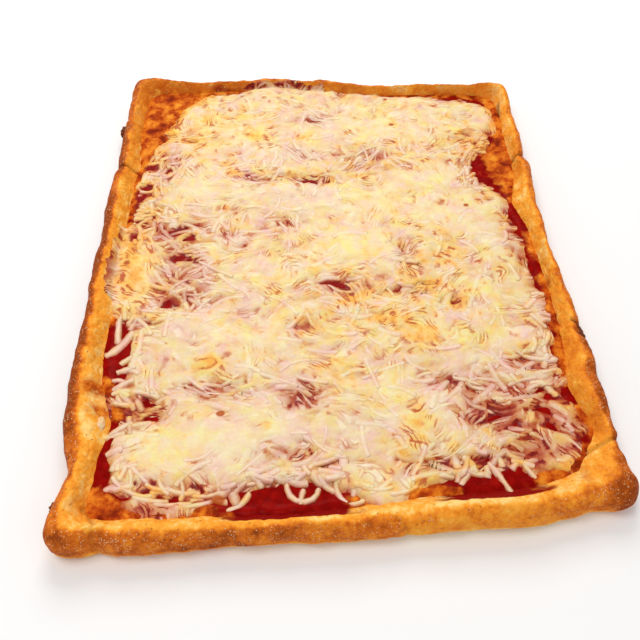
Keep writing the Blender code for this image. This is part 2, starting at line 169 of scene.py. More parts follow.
# Where the crust is browner, or paler where the amount is negative
TOAST_SWELLS = (
    (-172, 20, 8, 90, 0.4), (-174, -100, 9, 50, 0.38), (-168, -190, 16, 18, 0.05), (-70, -206, 70, 9, 0.1),
    (170, -186, 16, 18, 0.22), (172, -100, 8, 30, 0.12), (75, -198, 50, 15, -0.2), (-156, -120, 8, 26, -0.22),
    (-156, -50, 8, 50, -0.1), (-158, 5, 8, 35, -0.12), (-148, -198, 8, 6, -0.12), (35, -200, 6, 8, -0.14),
    (30, 212, 130, 14, 0.12), (-150, 212, 30, 20, 0.16), (-170, 145, 12, 45, 0.18), (162, -125, 12, 50, 0.3),
    (168, -190, 20, 14, 0.08), (108, -198, 30, 10, -0.1),
)

# Where sauce and oil have soaked into the crust
STAIN_SWELLS = (
    (-147, 195, 22, 30, 1.3), (-148, 145, 12, 25, 0.8), (-110, 215, 30, 12, 0.8), (-156, -103, 8.5, 4.8, 2.4),
    (-152, -119, 6.5, 4.2, 2), (-145, -182, 12, 8, 0.7), (145, 105, 14, 25, 0.85), (148, -50, 7, 30, 0.45),
    (150, -110, 8, 30, 0.4), (140, -170, 4, 11, 1.1), (90, -183, 60, 5, 0.45), (-60, 216, 50, 12, 1.1),
    (20, 209, 50, 8, 0.9), (100, 197, 50, 8, 0.9), (148, 170, 8, 25, 0.4),
)

# Where the sauce is smeared up the rim's slope
SMEAR_SWELLS = (
    (-34, -190, 34, 14, 1.6), (88, -186, 30, 14, 1.6), (-85, 214, 25, 11, 0.5), (30, 208, 30, 7, 0.4),
    (100, 194, 48, 6, 0.6), (152, -25, 4, 16, 0.45),
)

# Where the cheese has run up on to the rim
CLIMB_SWELLS = (
    (-48, 215, 56, 30, 1), (-152, 8, 20, 42, 1),
)

# Where the shreds have run together and none lies loose
FUSED_SWELLS = (
    (-105, -178, 35, 10, 0.6), (142, 30, 12, 80, 0.75), (50, 195, 110, 16, 1.2), (-80, 205, 50, 16, 1.2),
    (140, 165, 12, 40, 0.8), (125, -135, 26, 24, 1), (-140, 0, 12, 30, 1), (30, 40, 45, 25, 0.6),
)

# Where the floor by the rim is stained dough rather than sauce
BARE_SWELLS = (
    (-138, 185, 30, 40, 4), (-142, 140, 12, 20, 0.7), (140, 106, 17, 26, 1.6), (-143, -182, 13, 9, 1.1),
    (52, -180, 14, 6, 0.9), (132, -172, 14, 12, 0.6), (145, 160, 8, 30, 0.6),
)

# How far the melted cheese runs past the solid's, or leaves a pool of sauce open where negative
EDGE_SWELLS = (
    (-150, 15, 20, 45, 5.5), (-145, 95, 20, 20, 3), (-30, 205, 70, 20, 12), (90, 195, 40, 15, 3),
    (148, -35, 20, 45, 4), (142, 170, 20, 25, 3), (-105, -182, 30, 15, 4), (23, -180, 15, 15, 5),
    (130, -150, 25, 25, 3), (-148, -72, 11, 19, -13), (-148, -158, 9, 18, -6), (-142, -133, 9, 7, -5),
    (-150, -25, 15, 18, 9), (-150, -108, 15, 10, 9), (-34, -185, 28, 12, -13), (88, -183, 27, 11, -12),
    (144, -115, 13, 5.5, -10), (138, 45, 11, 14, -8), (148, -8, 6, 20, -5), (130, 137, 12, 9, -6),
    (-145, 78, 7, 9, -9), (-142, 110, 6, 6, -6), (-78, 212, 10, 8, -6), (-134, 190, 20, 33, -17),
    (133, 104, 12, 20, -6),
)
POOL_LIMIT = -0.0035

# Where the cheese is thicker and yellower, or thinner with the sauce near, as a share of its range
RICH_SWELLS = (
    (-145, -106, 12, 12, -0.55), (-136, -50, 12, 10, -0.4), (40, 55, 55, 30, 0.22), (20, 15, 40, 12, 0.22),
    (85, 85, 30, 20, 0.16), (-70, 155, 25, 20, 0.22), (-95, 85, 25, 18, 0.14), (-105, -150, 26, 18, 0.36),
    (-65, -135, 25, 14, 0.2), (-70, -60, 35, 14, 0.14), (60, -65, 25, 12, 0.18), (45, -125, 20, 20, 0.18),
    (60, 150, 35, 15, 0.16), (110, 150, 20, 20, 0.12), (-140, 5, 12, 30, 0.2), (110, 30, 22, 15, 0.12),
    (-115, 35, 22, 12, -0.88), (-112, -5, 18, 22, -0.6), (-105, -32, 22, 9, -0.42), (-45, 42, 15, 15, -0.38),
    (-80, 32, 20, 6, -0.31), (-60, 95, 18, 8, -0.45), (-12, 92, 24, 7, -0.37), (-18, 120, 12, 8, -0.22),
    (40, 119, 13, 10, -0.47), (35, 104, 26, 5, -0.37), (-12, 168, 14, 8, -0.33), (55, 10, 10, 14, -0.42),
    (2, -22, 18, 10, -0.47), (52, -27, 22, 7, -0.37), (90, -40, 14, 6, -0.31), (-22, -56, 10, 6, -0.37),
    (-130, -122, 20, 12, -0.8), (-75, -105, 22, 8, -0.37), (-20, -113, 16, 12, -0.45),
    (-30, -150, 14, 7, -0.31), (70, -103, 22, 10, -0.39), (108, -118, 26, 11, -0.59),
    (125, -136, 30, 26, -0.85), (90, -132, 18, 12, -0.28), (55, -161, 26, 8, -0.45), (-10, -160, 14, 6, -0.31),
    (-108, -176, 34, 11, -0.85), (139, 15, 8, 35, -0.42), (122, 95, 12, 24, -0.53), (118, 140, 14, 8, -0.37),
    (-132, 115, 12, 22, -0.51), (-136, 62, 10, 22, -0.42), (125, -90, 16, 10, -0.33), (-45, 219, 60, 5, -0.45),
)

# Slits where the sauce shows: both ends, half width, and how open
SLITS = (
    (-31, 94, -27, 93, 3.5, 0.75), (-20, 90, 0, 88, 2.8, 0.7), (25, 93, 40, 93, 2.2, 0.55),
    (50, 104, 58, 104, 2.2, 0.5), (-55, 102, -40, 102, 2, 0.45), (-24, -57, -20, -56, 3, 0.7),
    (16, -20, 24, -20, 2.8, 0.65), (56, -3, 64, -1, 2.2, 0.55), (60, -22, 75, -21, 2.6, 0.6),
    (83, -38, 88, -36, 2.2, 0.6), (25, -45, 45, -58, 2.6, 0.45), (30, -157, 41, -158, 2.2, 0.6),
    (68, -160, 80, -161, 2.6, 0.65), (104, -158, 108, -162, 3, 0.6), (-138, 55, -146, 47, 4.5, 0.9),
    (-149, 35, -149, 27, 4.5, 0.9), (-110, 28, -106, 28, 2.8, 0.6), (-111, 10, -107, 10, 2.6, 0.6),
    (-114, 142, -110, 142, 4, 0.8), (-141, 110, -138, 110, 4.5, 0.8), (-145, 85, -138, 75, 5, 0.95),
    (-133, -112, -128, -120, 2.6, 0.65), (-122, -124, -116, -126, 2.2, 0.6), (-147, -128, -140, -120, 4, 0.9),
    (120, -87, 128, -87, 3, 0.7), (133, -115, 150, -114, 4, 0.9), (138, 38, 142, 44, 4, 0.9),
    (124, 65, 127, 65, 3, 0.7), (123, 131, 126, 131, 3.4, 0.7), (118, 143, 121, 143, 3.4, 0.7),
    (-128, -20, -122, -22, 2.4, 0.55), (-127, -168, -118, -173, 2, 0.75), (-109, -177, -100, -178, 2, 0.75),
    (-94, -172, -86, -177, 2.2, 0.8), (-76, -176, -69, -181, 2.2, 0.75),
)

# Pools of orange oil on the cheese, or whiter and drier cheese where the amount is negative
OIL_SWELLS = (
    (-60, 146, 11, 7, 1.3), (-84, 110, 8, 7, 1.2), (-78, 100, 7, 5, 1.1), (-18, 145, 7, 6, 1),
    (-8, 103, 14, 4, 0.6), (-80, 60, 7, 5, 0.7), (62, -70, 14, 10, 0.9), (40, -52, 14, 6, 0.7),
    (46, -135, 8, 12, 1), (85, 3, 10, 7, 0.7), (-5, -6, 22, 4, 0.7), (18, -32, 14, 5, 0.7),
    (45, -12, 12, 6, 0.55), (-45, -12, 12, 6, 0.5), (-84, -82, 10, 8, 0.8), (-12, -92, 14, 8, 0.75),
    (-115, -46, 12, 6, 0.55), (-141, -15, 12, 22, 1), (-148, 10, 10, 30, 1.1), (98, -80, 16, 6, 0.5),
    (140, -70, 10, 12, 0.6), (65, 120, 10, 7, 0.45), (-45, -130, 10, 6, 0.45), (62, -182, 16, 7, 1.1),
    (28, -176, 14, 6, 0.6), (-115, -172, 20, 5, 0.6), (125, -138, 28, 26, 0.2), (132, -165, 16, 10, 0.9),
    (-5, 165, 25, 12, -0.9), (-25, 118, 20, 12, -1), (-95, 77, 30, 16, -0.75), (-22, 66, 30, 16, -1.3),
    (83, 78, 18, 16, -0.5), (112, 34, 14, 18, -0.9), (-54, -20, 18, 30, -0.6), (-105, -62, 20, 20, -0.9),
    (88, -98, 28, 22, -1.1), (-30, -120, 18, 30, -1.1), (12, -137, 22, 12, -0.9), (-70, -145, 18, 26, -0.9),
    (-105, 160, 22, 32, 0.45), (-70, 165, 30, 18, 0.5), (60, 140, 10, 20, 0.55), (105, 125, 18, 30, 0.45),
    (82, 10, 22, 16, 0.6), (-20, 8, 10, 10, 0.45), (55, -68, 18, 12, 0.5), (-45, -22, 14, 9, 0.8),
    (10, -35, 24, 20, 0.7), (70, -36, 30, 20, 0.6), (4, -102, 10, 12, 0.6), (41, -137, 8, 12, 0.6),
    (-84, -86, 10, 9, 0.6),
)

# Browned spots on the cheese
SCORCH_SWELLS = (
    (-75, -180, 4.8, 4, 1.1), (-76, -123, 2.8, 2, 1.4), (57, 156, 2.4, 1.8, 1.2), (106, 56, 2.2, 1.8, 1.2),
    (34, 202, 1.8, 1.8, 1.2), (55, 192, 1.8, 1.8, 1.2), (-150, 5, 3, 3, 0.9),
)

# Shreds with a place of their own: x, y, heading, length, turn and width, with the angles in degrees
NAMED_UNITS = (MM, MM, math.radians(1.0), MM, math.radians(1.0), MM)
NAMED_SHREDS = (
    (-98, 6, -38, 31, 10, 3.6), (-35, -170, -92, 31, 190, 3.4), (-6, -171, -95, 25, 140, 3.4),
    (-25, -174, -110, 10, 20, 3), (78, -163, -140, 16, 20, 4.2), (86, -161, -58, 26, -12, 3.8),
    (106, -160, -70, 14, 20, 3.4), (-139, -56, -112, 26, -40, 5.6), (-149, -47, -92, 19, 15, 4.2),
    (-141, -43, -30, 24, -45, 4.4), (-133, -56, -82, 23, -25, 4.4), (-134, -76, -160, 12, 30, 4),
    (-133, -86, -175, 13, 20, 4.4), (-133, -96, -165, 15, 25, 4.4), (-134, -104, 175, 13, 30, 4.2),
    (-130, -113, 190, 14, -30, 4.2), (-130, -127, -160, 16, 25, 4.4), (-134, -134, -175, 13, 15, 4.8),
    (-134, -145, -170, 11, 15, 5), (-138, -163, -60, 18, 50, 3.4), (-132, -170, -35, 20, 40, 3.2),
    (-125, -176, -20, 22, 25, 3.4), (-112, -181, -5, 22, 10, 3.2), (-95, -183, 5, 20, 15, 3.4),
    (-118, -168, -40, 16, 60, 3), (-105, -172, -25, 18, 45, 3.4), (-90, -176, -15, 18, 50, 3),
    (-128, -160, -70, 14, -40, 3.2), (-70, -186, 10, 18, 70, 3.4), (-110, -166, -80, 12, 60, 3.4),
    (-98, -166, -60, 14, -60, 3), (8, -174, -30, 20, 60, 3.2), (25, -180, 0, 18, 40, 3.2),
    (-135, 56, 175, 12, 60, 3.6), (-135, 40, 190, 13, 60, 3.6), (-138, 83, 200, 12, -50, 3.4),
    (-136, 70, 185, 11, 40, 3.4), (129, -106, -40, 14, -20, 5), (119, -83, -30, 20, 30, 3.6),
)

# Bits baked onto the crust: x, y, height of the middle, and half sizes along x, y and z
BURNT_BITS = (
    (-171.5, 160, 10, 3.6, 7, 3.5), (-169, -180, 9, 4, 4, 3), (163.5, -74, 13, 4.2, 11, 5.5),
)
CHEESE_SCRAPS = (
    (-150, -128, 15, 3, 5, 2.4), (28, -191, 14, 4.5, 2.6, 2),
)


def linear(code):
    """Linear colour of an sRGB hex code."""
    parts = [int(code[place:place + 2], 16) / 255.0 for place in (1, 3, 5)]
    return tuple(part / 12.92 if part <= 0.04045 else ((part + 0.055) / 1.055) ** 2.4 for part in parts)


def swell(table, x, y):
    """Sum of a table's swells at each place, in the unit of its amounts."""
    total = np.zeros(np.shape(x))
    for middle_x, middle_y, spread_x, spread_y, amount in table:
        total = total + amount * np.exp(
            -((x - MM * middle_x) / (MM * spread_x)) ** 2 - ((y - MM * middle_y) / (MM * spread_y)) ** 2
        )
    return total


def ease(share):
    """Smooth step from 0 to 1."""
    share = np.clip(share, 0.0, 1.0)
    return share * share * (3.0 - 2.0 * share)


def lumps(x, y, z, size):
    """Smooth lumpiness at each place, from about -1 to 1. On the plan, each z gives another pattern."""
    x, y, z = np.broadcast_arrays(x, y, z)
    places = (np.stack((x, y, z), axis=-1).reshape(-1, 3) / size).tolist()
    return np.array([noise.noise(place) for place in places]).reshape(x.shape)


def from_line(x, y, line):
    """Distance of each place from a table's line, its place across it, left positive, and how far past an end it is."""
    start_x, start_y, end_x, end_y = MM * np.array(line)
    run_x = end_x - start_x
    run_y = end_y - start_y
    length = math.hypot(run_x, run_y)
    along = ((x - start_x) * run_x + (y - start_y) * run_y) / length**2
    share = np.clip(along, 0.0, 1.0)
    far = np.hypot(x - start_x - share * run_x, y - start_y - share * run_y)
    side = (run_x * (y - start_y) - run_y * (x - start_x)) / length
    return far, side, np.abs(along - share) * length


def rounded_loop(corners, radius, finer):
    """Stations round a four-cornered outline: points and the directions that face out."""
    corners = np.array(corners)
    starts, ends, centres, turns = [], [], [], []
    for index, here in enumerate(corners):
        back = corners[index - 1] - here
        ahead = corners[(index + 1) % 4] - here
        back = back / np.linalg.norm(back)
        ahead = ahead / np.linalg.norm(ahead)
        half = math.acos(np.dot(back, ahead)) / 2.0
        middle = (back + ahead) / np.linalg.norm(back + ahead)
        starts.append(here + back * radius / math.tan(half))
        ends.append(here + ahead * radius / math.tan(half))
        centres.append(here + middle * radius / math.sin(half))
        turns.append(math.pi - 2.0 * half)
    points, facings = [], []
    for index in range(4):
        first = starts[index] - centres[index]
        opening = math.atan2(first[1], first[0])
        for step in range(ARC_STEPS * finer):
            angle = opening + turns[index] * step / (ARC_STEPS * finer)
            facing = np.array((math.cos(angle), math.sin(angle)))
            points.append(centres[index] + facing * radius)
            facings.append(facing)
        side = starts[(index + 1) % 4] - ends[index]
        facing = np.array((side[1], -side[0])) / np.linalg.norm(side)
        for step in range(SIDE_STEPS[index] * finer):
            points.append(ends[index] + side * (step / (SIDE_STEPS[index] * finer)))
            facings.append(facing)
    return np.array(points), np.array(facings)


def swollen_loop(corners, radius, table, finer=1):
    """A rounded outline moved along its facing by a table's swells."""
    points, facings = rounded_loop(corners, radius, finer)
    return points + facings * MM * swell(table, points[:, 0], points[:, 1])[:, None]


def distance_inside(loop, x, y):
    """Distance of each place to an outline, positive inside it and negative outside."""
    nearest = np.full(np.shape(x), np.inf)
    inside = np.zeros(np.shape(x), bool)
    for (tail_x, tail_y), (head_x, head_y) in zip(np.roll(loop, 1, axis=0), loop):
        run_x = head_x - tail_x
        run_y = head_y - tail_y
        share = np.clip(((x - tail_x) * run_x + (y - tail_y) * run_y) / (run_x**2 + run_y**2), 0.0, 1.0)
        nearest = np.minimum(nearest, np.hypot(x - tail_x - run_x * share, y - tail_y - run_y * share))
        if head_y != tail_y:
            crosses = (head_y > y) != (tail_y > y)
            inside ^= crosses & (x < tail_x + run_x * (y - tail_y) / run_y)
    return np.where(inside, nearest, -nearest)


FLOOR = swollen_loop(FLOOR_CORNERS, FLOOR_RADIUS, FLOOR_SWELLS)
CHEESE_EDGE = swollen_loop(CHEESE_CORNERS, CHEESE_RADIUS, CHEESE_SWELLS)


class HeightField:
    """A level grid over the plan, with values that can be read anywhere between its points."""

    def __init__(self, loop, margin, step):
        self.step = step
        self.low = loop.min(axis=0) - margin
        span = loop.max(axis=0) + margin - self.low
        self.columns = int(span[0] / step) + 1
        self.rows = int(span[1] / step) + 1
        self.x, self.y = np.meshgrid(
            self.low[0] + step * np.arange(self.columns), self.low[1] + step * np.arange(self.rows), indexing="ij"
        )

    def lumps(self, pattern, size):
        """One of the patterns of lumpiness over the grid."""
        return lumps(self.x, self.y, pattern, size)

    def read(self, values, x, y):
        """Values at places between the grid's points."""
        across = np.clip((x - self.low[0]) / self.step, 0.0, self.columns - 1.001)
        along = np.clip((y - self.low[1]) / self.step, 0.0, self.rows - 1.001)
        i = across.astype(int)
        j = along.astype(int)
        u = across - i
        v = along - j
        left = values[i, j] * (1.0 - v) + values[i, j + 1] * v
        right = values[i + 1, j] * (1.0 - v) + values[i + 1, j + 1] * v
        return left * (1.0 - u) + right * u


# Nodes and finishes


def rgba(colour):
    """A colour's four parts, from its three or from its hex code."""
    return (*(linear(colour) if isinstance(colour, str) else colour), 1.0)


def add_node(tree, kind, sockets=(), out=0, stops=(), **settings):
    """Add a node with its settings, its sockets' values or links and its ramp's stops, and give one output."""
    made = tree.nodes.new("ShaderNode" + kind)
    for name, value in settings.items():
        setattr(made, name, value)
    pairs = sockets.items() if isinstance(sockets, dict) else enumerate(sockets)
    for socket, value in pairs:
        if isinstance(value, bpy.types.NodeSocket):
            tree.links.new(value, made.inputs[socket])
        else:
            made.inputs[socket].default_value = rgba(value) if isinstance(value, (str, Color)) else value
    if stops:
        ramp = made.color_ramp
        while len(ramp.elements) < len(stops):
            ramp.elements.new(1.0)
        for element, (place, colour) in zip(ramp.elements, stops):
            element.position = place
            element.color = rgba(colour)
    return made.outputs[out]


def start_material(name, values, sockets):
    """A material with its shader's uniform values, what adds its nodes, and each point's place and kept values."""
    material = bpy.data.materials.new(name)
    material.use_nodes = True
    for socket, value in sockets.items():
        material.node_tree.nodes["Principled BSDF"].inputs[socket].default_value = value
    add = partial(add_node, material.node_tree)
    place = add("TexCoord", out="Object")
    return material, add, place, *(add("Attribute", attribute_name=value, out="Fac") for value in values)


def link_shader(material, outputs):
    """Link outputs to the shader's sockets, and give the material."""
    tree = material.node_tree
    for socket, output in outputs.items():
        tree.links.new(output, tree.nodes["Principled BSDF"].inputs[socket])
    return material


def dots(add, place, spacing, radius, share):
    """Round dots, one in some of the cells of a loose grid."""
    cells = add("TexVoronoi", {"Vector": place, "Scale": 1.0 / spacing}, "Distance")
    shade = add("TexVoronoi", {"Vector": place, "Scale": 1.0 / spacing}, "Color")
    near = add("MapRange", (cells, radius / spacing, 0.5 * radius / spacing))
    chosen = add("Math", (add("SeparateColor", (shade,)), share), operation="LESS_THAN")
    return add("Math", (near, chosen), operation="MULTIPLY")


# Dough that sauce and oil have soaked into, from its darkest patches to its lightest
SOAKED_DOUGH = ((0.36, "#7e240a"), (0.46, "#b44810"), (0.54, "#d4701c"), (0.66, "#e8942e"))
SOAKED_BLOTS = {"Scale": 1.0 / 0.0110, "Detail": 5.0, "Roughness": 0.62}


def crust_material(finish):
    """Baked dough, dusted with meal: matt, mottled gold to brown, with pale specks, and painted shade in its small
    pores and cracks.
    """
    material, add, place, toast, stain, crease, smear = start_material(
        "baked_dough", ("toast", "stain", "crease", "smear"), {
            "IOR": 1.45, "Specular IOR Level": 0.07, "Subsurface Weight": 0.05,
            "Subsurface Radius": (1.0, 0.45, 0.2), "Subsurface Scale": 0.0015,
        })
    broad = add("TexNoise", {"Vector": place, "Scale": 1.0 / 0.008, "Detail": 3.0})
    fine = add("TexNoise", {"Vector": place, "Scale": 1.0 / 0.0022, "Detail": 3.0})
    toast = add("Math", (broad, 0.85, toast), operation="MULTIPLY_ADD")
    toast = add("Math", (fine, 0.60, toast), operation="MULTIPLY_ADD")
    toast = add("Math", (toast, 0.725), operation="SUBTRACT", use_clamp=True)
    colour = add("ValToRGB", (toast,), stops=(
        (0.00, "#fbd07c"), (0.22, finish.dough_gold), (0.45, "#ee8e26"), (0.70, finish.dough_brown), (1.00, "#96420f"),
    ))
    blots = add("TexNoise", {"Vector": place, **SOAKED_BLOTS})
    soaked = add("ValToRGB", (blots,), stops=SOAKED_DOUGH)
    patches = add("MapRange", (blots, 0.30, 0.62), interpolation_type="SMOOTHSTEP")
    stain = add("Math", (stain, patches), operation="MULTIPLY", use_clamp=True)
    smear = add("Math", (blots, 0.50, smear), operation="MULTIPLY_ADD")
    smear = add("MapRange", (smear, 0.55, 0.95), interpolation_type="SMOOTHSTEP")
    # The real meal is finer than a pixel, so its specks are drawn as coarse as they need to show
    dust = add("TexNoise", {"Vector": place, "Scale": 1.0 / 0.0060, "Detail": 3.0})
    dusted = add("MapRange", (dust, 0.42, 0.64, 0.15, 0.90))
    meal = add("Math", (dots(add, place, 0.0014, 0.00052, 0.60), dusted), operation="MULTIPLY")
    browned = add("MapRange", (toast, 0.30, 0.65), interpolation_type="SMOOTHSTEP")
    meal = add("Math", (meal, browned), operation="MULTIPLY")
    # Painted shade: the small pits are darkened where shade falls in them
    shaded_pores = add("Math", (dots(add, place, 0.0036, 0.00070, 0.30), 0.60), operation="MULTIPLY")
    # The cracks' dark brown is painted shade in the grooves
    for cover, over in (
        (stain, soaked), (smear, finish.sauce_red), (meal, "#f6d3a4"), (shaded_pores, "#8a4414"), (crease, "#55240c"),
    ):
        colour = add("Mix", {0: cover, 6: colour, 7: over}, 2, data_type="RGBA")
    crags = add("TexNoise", {"Vector": place, "Scale": 1.0 / 0.0028, "Detail": 4.0})
    height = add("Math", (meal, 0.30, crags), operation="MULTIPLY_ADD")
    height = add("Math", (shaded_pores, -0.50, height), operation="MULTIPLY_ADD")
    return link_shader(material, {
        "Base Color": colour, "Roughness": add("MapRange", (stain, 0.0, 1.0, 0.66, 0.36)),
        "Normal": add("Bump", {"Height": height, "Distance": 0.0009}),
    })


def sauce_material(finish):
    """Wet tomato sauce: deep red, glossy over a fine pulp, with stained dough where it is thin."""
    material, add, place, bare = start_material("tomato_sauce", ("bare",), {"IOR": 1.37, "Specular IOR Level": 0.03})
    pulp = add("TexNoise", {"Vector": place, "Scale": 1.0 / 0.0050, "Detail": 4.0})
    red = add("ValToRGB", (pulp,), stops=((0.25, "#700503"), (0.50, finish.sauce_red), (0.75, "#9c0f07")))
    dough = add("ValToRGB", (add("TexNoise", {"Vector": place, **SOAKED_BLOTS}),), stops=SOAKED_DOUGH)
    bare = add("Math", (pulp, 0.90, bare), operation="MULTIPLY_ADD")
    bare = add("MapRange", (bare, 0.75, 1.15), interpolation_type="SMOOTHSTEP")
    return link_shader(material, {
        "Base Color": add("Mix", {0: bare, 6: red, 7: dough}, 2, data_type="RGBA"),
        "Roughness": add("MapRange", (bare, 0.0, 1.0, 0.20, 0.48)),
        "Normal": add("Bump", {"Height": pulp, "Distance": 0.0003}),
    })


# What the cheese's finish reads of the cheese map, besides how near the crown of a shred a point is
CHEESE_VALUES = ("rich", "oil", "scorch", "along", "across", "seam")


def cheese_material(finish):
    """Melted cheese: soft satin strands run together, yellow where thick, mauve to red where sauce shows through."""
    if "melted_cheese" in bpy.data.materials:
        return bpy.data.materials["melted_cheese"]
    material, add, place, rich, oil, scorch, along, across, seam, crown = start_material(
        "melted_cheese", (*CHEESE_VALUES, "crown"), {
            "Roughness": 0.42, "IOR": 1.45, "Specular IOR Level": 0.20, "Subsurface Weight": 0.08,
            "Subsurface Radius": (1.0, 0.6, 0.35), "Subsurface Scale": 0.0012,
        })
    # Strands run together: long cells that follow the way the shreds lie, with thin gaps between them
    frayed = add("TexNoise", {"Vector": place, "Scale": 1.0 / 0.0045, "Detail": 3.0}, "Color")
    comb = add("CombineXYZ", (along, across, 0.0))
    comb = add("VectorMath", (frayed, (0.5, 1.1, 0.0), comb), operation="MULTIPLY_ADD")
    strands = {"Vector": comb, "Scale": 1.0}
    gap = add("TexVoronoi", strands, "Distance", voronoi_dimensions="2D", feature="DISTANCE_TO_EDGE")
    tone = add("SeparateColor", (add("TexVoronoi", strands, "Color", voronoi_dimensions="2D"),))
    shown = add("Math", (1.0, add("Math", (crown, seam), operation="MAXIMUM")), operation="SUBTRACT")
    shown = add("Math", (shown, add("MapRange", (rich, 0.82, 0.98, 1.0, 0.15))), operation="MULTIPLY")
    line = add("MapRange", (gap, 0.28, 0.02), interpolation_type="SMOOTHSTEP")
    line = add("Math", (line, shown), operation="MULTIPLY")
    patches = add("TexNoise", {"Vector": place, "Scale": 1.0 / 0.0130, "Detail": 3.0})
    line = add("Math", (line, add("MapRange", (patches, 0.42, 0.58, 0.10, 1.0))), operation="MULTIPLY")
    tone = add("Math", (add("Math", (tone, 0.5), operation="SUBTRACT"), shown), operation="MULTIPLY")
    tone = add("Math", (tone, add("MapRange", (gap, 0.0, 0.24, 0.0, 1.25))), operation="MULTIPLY")

    # How thick the cheese looks: deep in the gaps, and varied from strand to strand
    grain = add("TexNoise", {"Vector": place, "Scale": 1.0 / 0.0026, "Detail": 4.0})
    rich = add("Math", (grain, 0.18, rich), operation="MULTIPLY_ADD")
    rich = add("Math", (tone, 0.24, rich), operation="MULTIPLY_ADD")
    deep = add("Math", (line, add("MapRange", (rich, 0.35, 1.00, -0.38, -0.06))), operation="MULTIPLY")
    rich = add("Math", (rich, deep))
    rich = add("Math", (crown, 0.05, rich), operation="MULTIPLY_ADD")
    rich = add("Math", (rich, 0.09), operation="SUBTRACT", use_clamp=True)
    colour = add("ValToRGB", (rich,), stops=(
        (0.00, "#7c0d07"), (0.12, "#9c2c16"), (0.24, "#bc6440"), (0.36, "#cf9473"),
        (0.48, "#dcb08f"), (0.60, "#e4c3a0"), (0.76, finish.cheese_cream), (1.00, finish.cheese_yellow),
    ))
    # Painted highlight: the shreds' crowns are mixed towards near white, along with strands of randomly paler tone
    tone_and_highlight = add("Math", (tone, 0.50), operation="MULTIPLY", use_clamp=True)
    tone_and_highlight = add("Math", (crown, 0.22, tone_and_highlight), operation="MULTIPLY_ADD")
    colour = add("Mix", {0: tone_and_highlight, 6: colour, 7: "#f7e7cc"}, 2, data_type="RGBA")

    # Patches of milder and riper cheese, yellower and paler than their neighbours, with the shreds' crowns paler still
    # as painted highlight
    pale = add("Math", (crown, 0.14, 0.38), operation="MULTIPLY_ADD")
    pale = add("Math", (oil, -0.16, pale), operation="MULTIPLY_ADD")
    pale = add("Math", (tone, 0.22, pale), operation="MULTIPLY_ADD")
    ripe = add("TexNoise", {"Vector": place, "Scale": 1.0 / 0.0120, "Detail": 4.0, "Roughness": 0.65}, "Color")
    ripe = add("VectorMath", (ripe, (0.0, 0.80, 1.70), (0.97, 0.57, -0.36)), operation="MULTIPLY_ADD")
    ripe = add("VectorMath", (ripe, add("CombineXYZ", (0.0, 0.0, pale))))
    ripe = add("VectorMath", (ripe, (1.0, 1.05, 1.10)), operation="MINIMUM")
    colour = add("Mix", {0: 1.0, 6: colour, 7: ripe}, 2, data_type="RGBA", blend_type="MULTIPLY")

    # Oil that has seeped out, most of it in the gaps between strands
    seep = add("TexNoise", {"Vector": place, "Scale": 1.0 / 0.0080, "Detail": 4.0})
    for value, share in ((seep, 5.0), (line, 0.80), (crown, -0.25)):
        oil = add("Math", (value, share, oil), operation="MULTIPLY_ADD")
    oil = add("MapRange", (oil, 2.65, 4.20, 0.0, 0.92))
    oil = add("Math", (oil, add("MapRange", (rich, 0.20, 0.48))), operation="MULTIPLY")
    warmth = add("Math", (oil, 0.40), operation="MULTIPLY")
    warmth = add("Math", (line, 0.85, warmth), operation="MULTIPLY_ADD")
    oiled = add("ValToRGB", (warmth,), stops=((0.0, finish.oil_orange), (0.40, "#eca440"), (1.0, "#b8501a")))
    colour = add("Mix", {0: oil, 6: colour, 7: oiled}, 2, data_type="RGBA")

    # Painted shade down the shreds' flanks, darker and warmer than on top, for the shade there and the red light thrown
    # up by the sauce
    side = add("Math", (crown, add("Math", (1.0, crown), operation="SUBTRACT")), operation="MULTIPLY")
    side = add("Math", (side, add("MapRange", (patches, 0.38, 0.60, 0.4, 1.5))), operation="MULTIPLY")
    colour = add("Mix", {0: side, 6: colour, 7: "#f0a476"}, 2, data_type="RGBA", blend_type="MULTIPLY")
    scorch = add("MapRange", (scorch, 0.25, 0.75), interpolation_type="SMOOTHSTEP")
    height = add("Math", (line, -0.3, grain), operation="MULTIPLY_ADD")
    return link_shader(material, {
        "Base Color": add("Mix", {0: scorch, 6: colour, 7: "#b4571b"}, 2, data_type="RGBA"),
        "Normal": add("Bump", {"Height": height, "Distance": 0.0005}),
    })


def burnt_material():
    """Scraps charred in the oven: near black brown, rough, with a little oily shine."""
    material, add, place = start_material("charred_dough", (), {"Roughness": 0.60, "Specular IOR Level": 0.12})
    char = add("TexNoise", {"Vector": place, "Scale": 1.0 / 0.0020, "Detail": 3.0})
    return link_shader(material, {
        "Base Color": add("ValToRGB", (char,), stops=((0.35, "#3c1808"), (0.60, "#7c3c16"), (0.80, "#b0682a"))),
        "Normal": add("Bump", {"Height": char, "Distance": 0.0006}),
    })


def floor_material(finish):
    """Plain matt studio floor: near white paper, so the shadow stays soft and pale."""
    material, add, place = start_material("studio_paper", (), {"Roughness": 0.9, "Specular IOR Level": 0.0})
    fibre = add("TexNoise", {"Vector": place, "Scale": 1.0 / 0.4})
    stops = ((0.0, [0.985 * part for part in finish.floor_white]), (1.0, finish.floor_white))
    return link_shader(material, {"Base Color": add("ValToRGB", (fibre,), stops=stops)})


# Making pieces


def pick(*pieces):
    """Select only these pieces, the first of them active."""
    bpy.ops.object.select_all(action="DESELECT")
    for piece in pieces:
        piece.select_set(True)
    bpy.context.view_layer.objects.active = pieces[0]


def read_points(piece):
    """A piece's points in its own frame."""
    flat = np.empty(3 * len(piece.data.vertices), np.float32)
    piece.data.vertices.foreach_get("co", flat)
    return flat.reshape(-1, 3).astype(float)


def place_points(piece, points):
    """Put a piece's points where the plan says, in the model's frame."""
    points = np.array(points)
    points[:, :2] += PLAN_SHIFT
    piece.data.vertices.foreach_set("co", points.astype(np.float32).ravel())
    piece.data.update()


